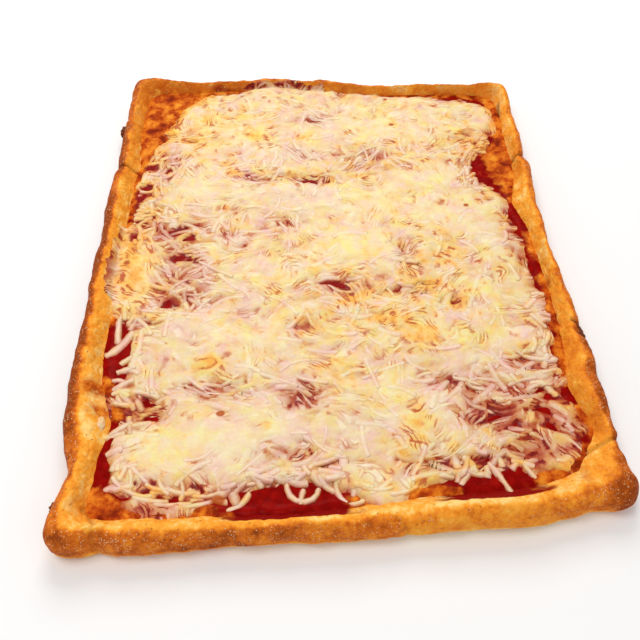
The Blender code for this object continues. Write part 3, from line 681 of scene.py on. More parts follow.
def keep_values(piece, **values):
    """Keep values on a piece's points, for its material: one for all or one for each."""
    for name, numbers in values.items():
        layer = piece.data.attributes.new(name, "FLOAT", "POINT")
        numbers = np.broadcast_to(np.ravel(numbers), len(piece.data.vertices))
        layer.data.foreach_set("value", numbers.astype(np.float32))


def edit_points(piece, chosen):
    """Go into edit mode with only the chosen points selected, and the edges and faces between them."""
    pick(piece)
    mesh = piece.data
    mesh.polygons.foreach_set("select", np.zeros(len(mesh.polygons), bool))
    mesh.edges.foreach_set("select", np.zeros(len(mesh.edges), bool))
    mesh.vertices.foreach_set("select", np.zeros(len(mesh.vertices), bool) | chosen)
    bpy.context.tool_settings.mesh_select_mode = (True, False, False)
    bpy.ops.object.mode_set(mode="EDIT")


def turn_outwards():
    """Turn all the faces of the piece in edit mode outwards, and leave edit mode."""
    bpy.ops.mesh.select_all(action="SELECT")
    bpy.ops.mesh.normals_make_consistent(inside=False)
    bpy.ops.object.mode_set(mode="OBJECT")


def add_grid(name, columns, rows):
    """A flat grid of points, and each point's column and row."""
    bpy.ops.mesh.primitive_grid_add(x_subdivisions=columns - 1, y_subdivisions=rows - 1, size=1.0)
    piece = bpy.context.object
    piece.name = piece.data.name = name
    across, along, _ = read_points(piece).T + 0.5
    return piece, np.rint(across * (columns - 1)).astype(int), np.rint(along * (rows - 1)).astype(int)


def add_sheet(name, field, height, covered, **values):
    """A sheet over the covered part of a height field, with the values kept on its points."""
    piece, column, row = add_grid(name, field.columns, field.rows)
    place_points(piece, np.stack((field.x, field.y, height), axis=-1)[column, row])
    keep_values(piece, **{key: np.broadcast_to(value, height.shape)[column, row] for key, value in values.items()})
    edit_points(piece, ~covered[column, row])
    bpy.ops.mesh.delete(type="VERT")
    bpy.ops.object.mode_set(mode="OBJECT")
    return piece


def close_sheet(piece, low):
    """Turn a sheet into a closed body: its edge drawn down to a level, and filled in."""
    edit_points(piece, True)
    bpy.ops.mesh.region_to_loop()
    bpy.ops.mesh.extrude_edges_move()
    bpy.ops.transform.resize(value=(1.0, 1.0, 0.0), center_override=(0.0, 0.0, low))
    bpy.ops.mesh.edge_face_add()
    turn_outwards()


def finish_piece(piece, material, slot, *replaced):
    """Give a piece its material, smooth shading and body, and hide the nodes that it replaces. Its slot is not used."""
    piece.data.materials.append(material)
    pick(piece)
    bpy.ops.object.shade_smooth()
    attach(piece, "root")
    if replaced:
        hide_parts(*replaced)
    bpy.ops.object.select_all(action="DESELECT")


# The crust


def rim_section(width, height):
    """The rim's section from base to floor: how far in from the widest line, and how high."""
    middle = WIDEST_SHARE * height
    crest = CREST_SHARE * width
    under = 0.5 * np.pi * np.arange(UNDER_STEPS) / UNDER_STEPS
    outer = 0.5 * np.pi * np.arange(OUTER_STEPS) / OUTER_STEPS
    inner = np.arange(INNER_STEPS + 1) / INNER_STEPS
    depth = np.concatenate((
        BASE_INSET * (1.0 - np.sin(under)) * np.ones_like(width),
        crest * (1.0 - np.cos(outer) ** FULLNESS),
        crest + (width - crest) * inner,
    ), axis=1)
    level = np.concatenate((
        middle * (1.0 - np.cos(under)),
        middle + (height - middle) * np.sin(outer) ** FULLNESS,
        BASE_THICKNESS + (height - BASE_THICKNESS) * (0.5 + 0.5 * np.cos(np.pi * inner)),
    ), axis=1)
    return depth, level


def rim_surface():
    """The solid's rim, station by station from base to floor: points, shares of its width, levels and ways in."""
    outer = swollen_loop(RIM_CORNERS, RIM_RADIUS, RIM_SWELLS, FINER)
    across = swollen_loop(FLOOR_CORNERS, FLOOR_RADIUS, FLOOR_SWELLS, FINER) - outer
    width = np.linalg.norm(across, axis=1)[:, None]
    inwards = across / width
    height = CREST_HEIGHT + MM * swell(HEIGHT_SWELLS, outer[:, 0], outer[:, 1])[:, None]
    depth, level = rim_section(width, height)
    x = outer[:, :1] + inwards[:, :1] * depth
    y = outer[:, 1:] + inwards[:, 1:] * depth
    free = ease(level / (LUMPS_FROM_HEIGHT * height)) * ease((width - depth) / (LUMPS_TO_FOOT * width))
    push = free * sum(far * lumps(x, y, level, size) for size, far in LUMPS)
    rise = free * sum(far * lumps(y, level, x, size) for size, far in LUMPS)
    points = np.stack((x - inwards[:, :1] * push, y - inwards[:, 1:] * push, level + rise), axis=-1)
    return points, depth / width, level, inwards


def surface_normals(points):
    """Outward directions over a closed sweep of sections."""
    along = np.roll(points, -1, axis=0) - np.roll(points, 1, axis=0)
    normals = np.cross(along, np.gradient(points, axis=1))
    return normals / np.maximum(np.linalg.norm(normals, axis=-1, keepdims=True), 1e-12)


def baked_rim(settings):
    """The rim with its blisters, folds and cracks, inside the solid's own box, and how dark the painted shade in each
    place's crack is.
    """
    points, share, level, inwards = rim_surface()
    x, y, z = np.moveaxis(points, -1, 0)
    blisters = lumps(x, y, z, 0.0110) + 0.6 * lumps(x, y, z, 0.0050)
    wrinkles = 1.0 - np.minimum(np.abs(lumps(x, y, z, 0.013)) / 0.10, 1.0)
    relief = settings.blister_height * (blisters - 0.6 * wrinkles * ease(share / 0.15))
    crease = np.zeros(x.shape)
    # Each groove is darkened with painted shade, as dark as its table says
    for *line, half, deep, dark in CREASES:
        far = from_line(x, y, line)[0] / (MM * half)
        relief = relief - MM * deep * np.exp(-far**2)
        crease = np.maximum(crease, dark * np.exp(-(far / 0.75) ** 2))
    for *line, step, run in FLAPS:
        _, side, past = from_line(x, y, line)
        side = side * math.copysign(1.0, run)
        hump = np.where(side > 0.0, np.exp(-side / abs(MM * run)), 0.0) * np.exp(-(past / FLAP_FADE) ** 2)
        relief = relief + MM * step * hump
    points = points + surface_normals(points) * (ease(level / RELIEF_FROM_HEIGHT) * relief)[..., None]
    low, high = (np.array(corner) - (*PLAN_SHIFT, 0.0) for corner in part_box("crust"))
    return np.clip(points, low, high), share, level, inwards, crease


def build_underside(base):
    """The baked bottom inside the base line: nearly flat, a little pitted, browned in patches."""
    field = HeightField(base, 0.0, UNDERSIDE_STEP)
    inside = distance_inside(base[::FINER], field.x, field.y)
    pits = np.clip(0.0006 * field.lumps(0.0, 0.014) + 0.0003 * field.lumps(1.0, 0.006), 0.0, 0.0010)
    toast = 0.60 + 0.25 * field.lumps(2.0, 0.030)
    height = pits * ease((inside - 0.004) / 0.010)
    return add_sheet("underside", field, height, inside >= 0.0035, toast=toast, stain=0.0, crease=0.0, smear=0.0)


def build_crust(settings, finish):
    """The baked crust: the solid's rim in fine steps, its floor and its underside."""
    points, share, level, inwards, crease = baked_rim(settings)
    x, y, z = np.moveaxis(points, -1, 0)
    mottled = lumps(x, y, z, 0.009)

    # Browned outside and on top, more so at the left, golden down the inner slope, and pale low at the front
    left = ease(inwards[:, 0])[:, None]
    front = ease(inwards[:, 1])[:, None]
    inner = ease((share + 0.10 * mottled + 0.05 * lumps(x, y, z, 0.0035) - (0.36 - 0.12 * front)) / 0.17)
    toast = (0.64 + 0.02 * front + 0.10 * left) * (1.0 - inner) + 0.24 * inner
    toast = toast - 0.60 * (1.0 - ease((level - 0.0030) / 0.0060)) * (0.15 + 0.85 * front)
    toast = toast + 0.16 * lumps(x, y, z, 0.024) + 0.12 * lumps(x, y, z, 0.0095) + swell(TOAST_SWELLS, x, y)
    under = 1.0 - ease(level / 0.0015)
    toast = toast * (1.0 - under) + 0.62 * under

    # Painted shade in the cracks and where the slope meets the sauce, and what has soaked in or is smeared on
    crease = np.maximum(crease, 0.45 * ease((share - 0.90) / 0.08) * (0.7 + mottled))
    stain = 0.55 * ease((share - 0.72) / 0.22) * (0.6 + 0.8 * lumps(x, y, z, 0.012))
    stain = stain + swell(STAIN_SWELLS, x, y) * ease((share - 0.30) / 0.25)
    smear = swell(SMEAR_SWELLS, x, y) * ease((share - 0.46) / 0.16) * (1.0 + 0.5 * lumps(x, y, z, 0.007))

    # The rim is a grid whose last column meets its first
    stations, rings = x.shape
    piece, column, row = add_grid("crust", stations + 1, rings)
    place = (column % stations, row)
    place_points(piece, points[place])
    keep_values(piece, toast=toast[place], stain=stain[place], crease=crease[place], smear=smear[place])
    edit_points(piece, True)
    bpy.ops.mesh.remove_doubles(threshold=1e-6)
    bpy.ops.object.mode_set(mode="OBJECT")

    # The floor is one face inside the rim's foot
    place_x, place_y, _ = read_points(piece).T
    edit_points(piece, distance_inside(points[:, -1, :2] + PLAN_SHIFT, place_x, place_y) > -1e-5)
    bpy.ops.mesh.edge_face_add()
    bpy.ops.object.mode_set(mode="OBJECT")

    # The underside is a sheet of its own, with faces filled in between it and the rim
    pick(piece, build_underside(points[:, 0, :2]))
    bpy.ops.object.join()
    edit_points(piece, False)
    bpy.ops.mesh.select_mode(type="EDGE")
    bpy.ops.mesh.select_non_manifold(
        extend=False, use_wire=False, use_multi_face=False, use_non_contiguous=False, use_verts=False
    )
    bpy.ops.mesh.fill()
    turn_outwards()
    finish_piece(piece, crust_material(finish), "crust", "crust")


# The sauce


def sauce_level(field):
    """Height of the sauce's surface: pulpy and a little uneven."""
    return SAUCE_TOP + 0.00035 * field.lumps(3.0, 0.012) + 0.00022 * field.lumps(4.0, 0.0048)


def build_sauce(settings, finish):
    """The sauce over the whole floor: its edge runs in under the rim's slope."""
    field = HeightField(FLOOR, SAUCE_FIELD_MARGIN, settings.sauce_step)
    inside = distance_inside(FLOOR, field.x, field.y)
    bare = np.clip(1.0 - inside / 0.009, 0.0, 1.0) * (0.75 + 0.7 * field.lumps(24.0, 0.011))
    bare = bare + swell(BARE_SWELLS, field.x, field.y) + 0.12 * np.minimum(swell(EDGE_SWELLS, field.x, field.y), 0.0)
    height = sauce_level(field) + 0.0004 * ease(1.0 - inside / 0.004) - 0.35 * np.clip(-0.001 - inside, 0.0, 0.004)
    height = height + 0.0005 * bare * (0.5 + field.lumps(5.0, 0.007))
    piece = add_sheet("sauce", field, height, inside >= -SAUCE_MARGIN, bare=bare)
    close_sheet(piece, SAUCE_BOTTOM)
    finish_piece(piece, sauce_material(finish), "sauce", "sauce")


# The cheese


def strand_bundles(x, y):
    """The bundle of strands that each place belongs to, and which way it is turned."""
    draw = np.random.default_rng(BUNDLE_SEED)
    i, j = np.meshgrid(np.arange(-8, 9), np.arange(-10, 11), indexing="ij")
    seed_x = BUNDLE_SIZE * (i.ravel() + draw.uniform(-0.45, 0.45, i.size))
    seed_y = BUNDLE_SIZE * (j.ravel() + draw.uniform(-0.45, 0.45, i.size))
    nearest = np.full(x.shape, np.inf)
    bundle = np.zeros(x.shape, int)
    for index in range(i.size):
        far = (x - seed_x[index]) ** 2 + (y - seed_y[index]) ** 2
        bundle = np.where(far < nearest, index, bundle)
        nearest = np.minimum(nearest, far)
    return bundle, draw.normal(0.0, 0.75, i.size)[bundle]


def rim_height(settings, x, y, asked):
    """Height of the rim's slope under each place that is asked for, and nothing elsewhere."""
    slope = baked_rim(settings)[0][:, -INNER_STEPS - 3:].reshape(-1, 3)
    tree = kdtree.KDTree(len(slope))
    for index, point in enumerate(slope.tolist()):
        tree.insert((point[0], point[1], 0.0), index)
    tree.balance()
    height = np.zeros(x.shape)
    for i, j in zip(*np.nonzero(asked)):
        near = tree.find_n((x[i, j], y[i, j], 0.0), 4)
        height[i, j] = max(slope[index, 2] for _, index, _ in near)
    return height


class CheeseMap(HeightField):
    """How thick, rich, oily and browned the cheese is all over the plan."""

    def __init__(self, settings):
        super().__init__(CHEESE_EDGE, CHEESE_FIELD_MARGIN, settings.cheese_step)
        x, y = self.x, self.y
        near_x = x + 0.004 * self.lumps(22.0, 0.010)
        near_y = y + 0.004 * self.lumps(23.0, 0.010)
        warp_x = x + 0.016 * self.lumps(6.0, 0.034) + 0.004 * self.lumps(7.0, 0.013)
        warp_y = y + 0.019 * self.lumps(8.0, 0.034) + 0.005 * self.lumps(9.0, 0.013)

        # How far each place is inside the ragged melted edge
        self.pools = MM * swell(EDGE_SWELLS, x, y)
        edge = 0.0045 + distance_inside(CHEESE_EDGE, x, y) + self.pools
        edge = edge + 0.0040 * self.lumps(10.0, 0.013) + 0.0024 * self.lumps(11.0, 0.0055)
        self.edge = edge

        # Slits, and the oil that seeps round them
        ragged = 1.0 + 0.8 * lumps(x / 1.8, y, 19.0, 0.0036)
        self.open = np.zeros(x.shape)
        seeping = np.zeros(x.shape)
        for *line, half, opened in SLITS:
            far = from_line(near_x, near_y, line)[0] / (MM * half * ragged)
            self.open = np.maximum(self.open, opened * np.exp(-(far / 1.05) ** 2))
            seeping = np.maximum(seeping, opened * np.exp(-(far / 2.6) ** 2))

        # Richness: broad patches, streaks and holes along the way the shreds lie, and a thinner fringe
        rich = 0.74 + 0.16 * self.lumps(12.0, 0.030) + swell(RICH_SWELLS, x, y)
        rich = rich + 0.10 * lumps(warp_x, warp_y, 18.0, 0.013)
        rich = np.maximum(rich, 0.36 + 0.18 * (rich - 0.36))
        thin = ease((0.85 - rich) / 0.40)
        streaks = lumps(warp_x / 2.6, warp_y, 13.0, 0.0060)
        rich = rich + (0.08 + 0.16 * thin) * streaks + 0.08 * self.lumps(14.0, 0.0055)
        rich = rich - 0.22 * ease((lumps(warp_x / 2.2, warp_y, 15.0, 0.0070) - 0.25) / 0.25) * (0.12 + thin)
        rich = rich - self.open * np.clip(0.40 + 1.5 * streaks, 0.0, 0.9)
        fringe = 0.0140 + 0.0090 * self.lumps(25.0, 0.028)
        rich = (rich - 0.22) * ease((edge + 0.005 + 0.0030 * streaks) / fringe) + 0.22 + 0.10 * streaks
        self.rich = np.clip(rich, 0.0, 1.0)

        # Places along and across the strands, seams where one bundle meets the next, and the way the shreds lie
        bundle, turn = strand_bundles(near_x, near_y)
        self.along = (np.cos(turn) * warp_x + np.sin(turn) * warp_y) / STRAND_LENGTH + BUNDLE_JUMP * bundle
        self.across = (np.cos(turn) * warp_y - np.sin(turn) * warp_x) / STRAND_WIDTH
        self.seam = np.zeros(x.shape)
        for step_x in (-1, 0, 1):
            for step_y in (-1, 0, 1):
                self.seam = np.maximum(self.seam, bundle != np.roll(bundle, (step_x, step_y), (0, 1)))
        x_by_x, x_by_y = np.gradient(warp_x, self.step)
        y_by_x, y_by_y = np.gradient(warp_y, self.step)
        self.lie_x = np.cos(turn) * y_by_y - np.sin(turn) * x_by_y
        self.lie_y = np.sin(turn) * x_by_x - np.cos(turn) * y_by_x

        dough = np.clip(swell(BARE_SWELLS, x, y), 0.0, 1.0)
        self.oil = swell(OIL_SWELLS, x, y) + 0.50 * self.lumps(16.0, 0.016) + 1.1 * seeping + 0.04
        self.oil = self.oil + 1.8 * dough * (1.0 - ease((edge - 0.001) / 0.016))
        self.scorch = swell(SCORCH_SWELLS, x, y)

        # Height: thicker where rich, sunk into the sauce at the edge, and over the rim's slope where it climbs
        swollen = 0.0034 * ease(self.rich / 0.95) ** 0.8 + 0.0003 * self.lumps(17.0, 0.016)
        height = CHEESE_SUNK + swollen * ease((edge + 0.004) / 0.011) + 0.0008 * ease((edge + 0.004) / 0.004)
        climbs = (distance_inside(FLOOR, x, y) < 0.002) & (edge > -0.006) & (swell(CLIMB_SWELLS, x, y) > 0.45)
        slope = rim_height(settings, x, y, climbs) - 0.0010 + 0.0018 * ease((edge + 0.004) / 0.005)
        self.height = np.maximum(height, np.where(climbs, slope, 0.0))
        self.sauce = sauce_level(self)

    def flow(self, x, y):
        """Which way the shreds lie at each place."""
        return np.arctan2(self.read(self.lie_y, x, y), self.read(self.lie_x, x, y))

    def surface(self, x, y):
        """Top of whatever shows at each place, cheese or sauce."""
        return np.maximum(self.read(self.height, x, y), self.read(self.sauce, x, y))


def build_sheet(cheese, finish):
    """The melted sheet of cheese, which dips under the sauce where that shows."""
    values = {name: getattr(cheese, name) for name in CHEESE_VALUES}
    piece = add_sheet("cheese", cheese, cheese.height, cheese.edge >= -CHEESE_MARGIN, crown=0.0, **values)
    close_sheet(piece, CHEESE_FOOT)
    finish_piece(piece, cheese_material(finish), "cheese", "cheese")


# One shred: its section as shares of half its width and of its height, and how wide it is at shares of its length
SHRED_FLANK = 1.35
SHRED_SECTION = ((-SHRED_FLANK, 0.0), (-0.78, 0.45), (-0.30, 0.95), (0.30, 0.95), (0.78, 0.45), (SHRED_FLANK, 0.0))
SHRED_PLACES = np.array((0.0, 0.035, 0.12, 0.26, 0.42, 0.58, 0.74, 0.88, 0.965, 1.0))
SHRED_TAPER = np.array((0.60, 0.92, 1.0, 1.0, 1.0, 1.0, 1.0, 1.0, 0.92, 0.60))
SHRED_SINK = 0.0004
SHRED_SPACING = 0.0078
EDGE_SEED = 31


def shred_model():
    """One straight shred, drawn out from its end face: shares across and up, its step along, and its faces."""
    bpy.ops.mesh.primitive_circle_add(vertices=len(SHRED_SECTION), radius=1.0, fill_type="NGON")
    piece = bpy.context.object
    mesh = piece.data
    for vertex, (across, up) in zip(mesh.vertices, SHRED_SECTION):
        vertex.co = (across, up, 0.0)
    edit_points(piece, True)
    for _ in SHRED_PLACES[1:]:
        bpy.ops.mesh.extrude_region_move(TRANSFORM_OT_translate={"value": (0.0, 0.0, 1.0)})
    turn_outwards()
    across, up, step = read_points(piece).T
    faces = [tuple(face.vertices) for face in mesh.polygons]
    bpy.data.objects.remove(piece)
    bpy.data.meshes.remove(mesh)
    return across, up, np.rint(step).astype(int), faces


def bend_shreds(name, cheese, x, y, headings, width, lift, palest, melted, draw):
    """Copies of the one shred, bent along their paths and joined as one piece, more or less melted in."""
    across, up, step, model_faces = shred_model()
    uneven = draw.standard_normal(x.shape).clip(-1.5, 1.5)
    half = 0.5 * width[:, None] * SHRED_TAPER * (1.0 + 0.10 * uneven)
    tall = (lift[:, None] * (0.25 + 0.75 * SHRED_TAPER))[:, step] * up
    side_x = -np.sin(headings) * half
    side_y = np.cos(headings) * half
    point_x = x[:, step] + side_x[:, step] * across
    point_y = y[:, step] + side_y[:, step] * across

    # The top stands on the smoothed ground under the path, and never dips below the chord between the edges
    ground = cheese.surface(x, y)
    for _ in range(2):
        ground[:, 1:-1] = 0.5 * ground[:, 1:-1] + 0.25 * (ground[:, :-2] + ground[:, 2:])
    right, left = (
        cheese.surface(x + flank * side_x, y + flank * side_y)[:, step] for flank in (-SHRED_FLANK, SHRED_FLANK)
    )
    chord = right + (left - right) * (0.5 + 0.5 * across / SHRED_FLANK)
    top = np.maximum(ground[:, step] + tall, chord - SHRED_SINK + 0.8 * tall)
    edge = cheese.surface(point_x, point_y) - SHRED_SINK
    level = np.where(up > 0.0, np.maximum(top, edge), edge)

    points = np.stack((point_x, point_y, level), axis=-1).reshape(-1, 3)
    starts = range(0, len(points), len(step))
    faces = [[start + corner for corner in face] for start in starts for face in model_faces]
    mesh = bpy.data.meshes.new(name)
    mesh.from_pydata(points.tolist(), [], faces)
    piece = bpy.data.objects.new(name, mesh)
    bpy.context.scene.collection.objects.link(piece)
    place_points(piece, points)

    # Each shred has its own richness on top, less so where it has melted in, and the sheet's down its sides
    values = {key: cheese.read(getattr(cheese, key), point_x, point_y) for key in CHEESE_VALUES}
    under = values["rich"]
    own = 0.04 + 0.92 * cheese.read(cheese.rich, x, y).mean(axis=1)
    own = np.clip(own + 0.10 * draw.standard_normal(len(x)), palest, 0.98)[:, None]
    along = SHRED_PLACES[step]
    shown = 1.0 - np.reshape(melted, (-1, 1)) * (1.0 - 0.75 * ease(along / 0.30) * ease((1.0 - along) / 0.30))
    own = own * shown + under * (1.0 - shown) + 0.16 * lumps(point_x, point_y, 26.0, 0.0045)
    crown = np.broadcast_to(ease((up - 0.05) / 0.80), under.shape)
    values["rich"] = under * (1.0 - crown) + np.maximum(own, under) * crown
    values["seam"] = np.maximum(values["seam"], np.ptp(values["along"], axis=1, keepdims=True) > SEAM_JUMP)
    keep_values(piece, crown=crown, **values)
    return piece


def draw_paths(x, y, heading, length, turn):
    """Bent paths from their starts: places and headings at each step."""
    steps = []
    for stride in np.diff(SHRED_PLACES, append=1.0):
        steps.append((x, y, heading))
        x = x + stride * length * np.cos(heading)
        y = y + stride * length * np.sin(heading)
        heading = heading + turn * stride
    return [np.stack(values, axis=1) for values in zip(*steps)]


def build_shreds(name, cheese, settings, finish, seed, rise, keep_open):
    """A layer of melted shreds over the sheet."""
    draw = np.random.default_rng(seed)
    low = CHEESE_EDGE.min(axis=0)
    columns, rows = ((CHEESE_EDGE.max(axis=0) - low) / SHRED_SPACING).astype(int)
    i, j = np.meshgrid(np.arange(columns), np.arange(rows), indexing="ij")
    count = i.size
    x = low[0] + (i.ravel() + draw.uniform(0.0, 1.0, count)) * SHRED_SPACING
    y = low[1] + (j.ravel() + draw.uniform(0.0, 1.0, count)) * SHRED_SPACING
    heading = cheese.flow(x, y) + 0.25 * draw.standard_normal(count) + np.pi * draw.integers(0, 2, count)
    length = draw.uniform(0.009, 0.028, count)
    turn = np.radians(draw.uniform(-75.0, 75.0, count))
    xs, ys, headings = draw_paths(x, y, heading, length, turn)

    # Few lie loose where slits or pools are open, where the cheese is thinnest or thickest, or where it has fused
    edge = cheese.read(cheese.edge, xs, ys)
    rich = cheese.read(cheese.rich, xs, ys).mean(axis=1)
    keep = (edge.min(axis=1) > -0.007) & (edge.mean(axis=1) > 0.0005)
    keep &= distance_inside(FLOOR, xs, ys).min(axis=1) > 0.0015
    keep &= (cheese.read(cheese.open, xs, ys).max(axis=1) < 0.40) | (draw.uniform(0.0, 1.0, count) < keep_open)
    keep &= cheese.read(cheese.pools, xs, ys).min(axis=1) > POOL_LIMIT
    keep &= rich > draw.uniform(0.05, 0.42, count)
    keep &= swell(FUSED_SWELLS, xs, ys).max(axis=1) < draw.uniform(0.15, 0.9, count)
    keep &= draw.uniform(0.0, 1.0, count) < 0.03 + 0.34 * ease((0.80 - rich) / 0.30)
    width = draw.uniform(0.65, 1.35, count) * settings.shred_width
    lift = rise * draw.uniform(0.55, 1.25, count) * (1.0 - 0.55 * ease((rich - 0.86) / 0.12))
    chosen = (values[keep] for values in (xs, ys, headings, width, lift))
    piece = bend_shreds(name, cheese, *chosen, palest=0.34, melted=1.0, draw=draw)
    finish_piece(piece, cheese_material(finish), "cheese")


def build_edge_shreds(cheese, settings, finish):
    """Shreds that run out from the cheese over the bare sauce, and those with a place of their own."""
    draw = np.random.default_rng(EDGE_SEED)
    around = np.roll(CHEESE_EDGE, -1, axis=0) - np.roll(CHEESE_EDGE, 1, axis=0)
    outwards = np.tile(np.arctan2(-around[:, 0], around[:, 1]), 2)
    count = outwards.size
    back = draw.uniform(-0.002, 0.010, count)
    x = np.tile(CHEESE_EDGE[:, 0], 2) - back * np.cos(outwards) + draw.uniform(-0.002, 0.002, count)
    y = np.tile(CHEESE_EDGE[:, 1], 2) - back * np.sin(outwards) + draw.uniform(-0.002, 0.002, count)
    heading = outwards + np.radians(draw.uniform(-95.0, 95.0, count))
    length = draw.uniform(0.007, 0.016, count)
    turn = np.radians(draw.uniform(-70.0, 70.0, count))
    width = draw.uniform(0.95, 1.35, count) * settings.shred_width
    named = (np.array(NAMED_SHREDS) * NAMED_UNITS).T
    x, y, heading, length, turn, width = np.concatenate((named, (x, y, heading, length, turn, width)), axis=1)
    count = x.size
    xs, ys, headings = draw_paths(x, y, heading, length, turn)

    # Those drawn at random stay off the rim, the open pools and the stained dough
    is_named = np.arange(count) < len(NAMED_SHREDS)
    keep = distance_inside(FLOOR, xs, ys).min(axis=1) > 0.0012
    keep &= cheese.read(cheese.pools, xs, ys).min(axis=1) >= POOL_LIMIT
    keep &= (swell(BARE_SWELLS, xs, ys) + swell(FUSED_SWELLS, xs, ys)).max(axis=1) <= 0.45
    keep &= draw.uniform(0.0, 1.0, count) < 0.60
    keep |= is_named
    lift = draw.uniform(0.0006, 0.0010, count)
    palest = np.where(is_named, 0.56, draw.uniform(0.34, 0.62, count))
    melted = np.where(is_named, 0.25, 0.50)
    chosen = (values[keep] for values in (xs, ys, headings, width, lift, palest, melted))
    piece = bend_shreds("edge_shreds", cheese, *chosen, draw=draw)
    finish_piece(piece, cheese_material(finish), "cheese")


def build_bits(name, bits, material, slot, craggy):
    """Small craggy scraps, each from its own ball, joined as one piece."""
    balls = []
    for bit in MM * np.array(bits):
        bpy.ops.mesh.primitive_ico_sphere_add(subdivisions=4, radius=1.0)
        ball = bpy.context.object
        points = read_points(ball)
        puff = 1.0 + craggy * (lumps(*points.T, 0.9) + 0.6 * lumps(*points.T, 0.35))
        place_points(ball, points * puff[:, None] * bit[3:] + bit[:3])
        balls.append(ball)
    pick(*balls)
    bpy.ops.object.join()
    piece = balls[0]
    piece.name = piece.data.name = name
    keep_values(piece, rich=0.92, oil=0.0, scorch=0.0, crown=0.35, along=0.0, across=0.0, seam=1.0)
    finish_piece(piece, material, slot)


# Stage

CAMERA_PLACE = (-0.0198, -0.3637, 0.4150)
CAMERA_TILT = 52.79
CAMERA_TURN = 1.99
CAMERA_LENS = 41.2


def add_light(name, place, size, power, colour):
    """A soft square light that points at the middle."""
    light = bpy.data.lights.new(name, "AREA")
    light.shape = "SQUARE"
    light.size = size
    light.energy = power
    light.color = colour
    lamp = bpy.data.objects.new(name, light)
    lamp.location = place
    x, y, z = place
    lamp.rotation_euler = (math.atan2(math.hypot(x, y), z), 0.0, math.atan2(-x, y) + math.pi)
    bpy.context.scene.collection.objects.link(lamp)


def build_stage(settings, finish):
    """Pale floor, soft lights, white surroundings and the camera."""
    bpy.ops.mesh.primitive_plane_add(size=8.0)
    floor = bpy.context.object
    floor.name = "stage_floor"
    floor.data.materials.append(floor_material(finish))
    scene = bpy.context.scene
    scene.view_settings.view_transform = "Standard"
    scene.world = bpy.data.worlds.new("studio")
    scene.world.use_nodes = True
    sockets = scene.world.node_tree.nodes["Background"].inputs
    sockets["Color"].default_value = (1.0, 1.0, 1.0, 1.0)
    sockets["Strength"].default_value = settings.world_strength
    add_light("key_light", (-0.42, -0.12, 1.32), 0.50, settings.key_power, (1.0, 0.98, 0.95))
    add_light("back_light", (-0.05, 1.05, 1.15), 0.80, settings.back_power, (1.0, 0.99, 0.97))
    add_light("fill_light", (0.70, -0.90, 0.90), 0.90, settings.fill_power, (1.0, 1.0, 1.0))
    camera = bpy.data.cameras.new("camera")
    camera.lens = CAMERA_LENS
    camera.sensor_width = 36.0
    camera.clip_start = 0.01
    view = bpy.data.objects.new("camera", camera)
    view.location = CAMERA_PLACE
    view.rotation_euler = (math.radians(90.0 - CAMERA_TILT), 0.0, math.radians(-CAMERA_TURN))
    scene.collection.objects.link(view)
    scene.camera = view


# What a user sets and calls


def length_property(name, description, default, low, high):
    """A small length that a user can set."""
    return FloatProperty(
        name=name, description=description, default=default, min=low, max=high,
        subtype="DISTANCE", unit="LENGTH", precision=5,
    )


def colour_property(name, description, default):
    """A colour that a user can set."""
    return FloatVectorProperty(
        name=name, description=description, default=default, subtype="COLOR", size=3, min=0.0, max=1.0
    )


def power_property(name, description, default):
    """A light's power that a user can set."""
    return FloatProperty(name=name, description=description, default=default, min=0.0, unit="POWER")


class PizzaShapes(bpy.types.PropertyGroup):
    """Sizes that a user would change."""

    blister_height: length_property("Blister height", "How far the rim's blisters stand out", 0.0008, 0.0, 0.003)
    shred_width: length_property("Shred width", "Width of a melted shred of cheese", 0.0039, 0.001, 0.006)
    cheese_step: length_property("Cheese step", "Spacing of the points of the cheese sheet", 0.0011, 0.0009, 0.01)
    sauce_step: length_property("Sauce step", "Spacing of the points of the sauce", 0.0018, 0.001, 0.01)
    seed: IntProperty(name="Seed", description="Seed of the shreds' places", default=5, min=0)


class PizzaFinish(bpy.types.PropertyGroup):
    """Colours that a user would change."""

    dough_gold: colour_property("Golden dough", "Crust where it is lightly baked", linear("#f8aa3c"))
    dough_brown: colour_property("Toasted dough", "Crust where it is well baked", linear("#d0691c"))
    sauce_red: colour_property("Sauce", "Tomato sauce where it is deep", linear("#870805"))
    cheese_cream: colour_property("Cream cheese", "Cheese of middling thickness", linear("#e9cba4"))
    cheese_yellow: colour_property("Yellow cheese", "Cheese where it is thick", linear("#eed8a8"))
    oil_orange: colour_property("Oil", "Tint of the oil on the cheese", linear("#f8d062"))
    floor_white: colour_property("Floor", "Studio floor", (0.90, 0.90, 0.90))


class PizzaStage(bpy.types.PropertyGroup):
    """Light that a user would change."""

    key_power: power_property("Key light", "Power of the key light", 5.6)
    back_power: power_property("Back light", "Power of the back light", 10.8)
    fill_power: power_property("Fill light", "Power of the fill light", 0.8)
    world_strength: FloatProperty(
        name="Surroundings", description="Brightness of the white surroundings", default=0.585, min=0.0
    )


# The cheese maps worked out so far, by the settings that they come from
MAPS = {}


def cheese_map(settings):
    """The cheese map of these settings, worked out once for all the pieces that read it."""
    key = (settings.cheese_step, settings.blister_height)
    if key not in MAPS:
        MAPS[key] = CheeseMap(settings)
    return MAPS[key]


class PIZZA_OT_crust(bpy.types.Operator):
    """Build the baked crust"""

    bl_idname = "pizza.crust"
    bl_label = "Crust"

    def execute(self, context):
        build_crust(context.scene.pizza_shapes, context.scene.pizza_finish)
        return {"FINISHED"}


class PIZZA_OT_sauce(bpy.types.Operator):
    """Build the tomato sauce"""

    bl_idname = "pizza.sauce"
    bl_label = "Sauce"

    def execute(self, context):
        build_sauce(context.scene.pizza_shapes, context.scene.pizza_finish)
        return {"FINISHED"}


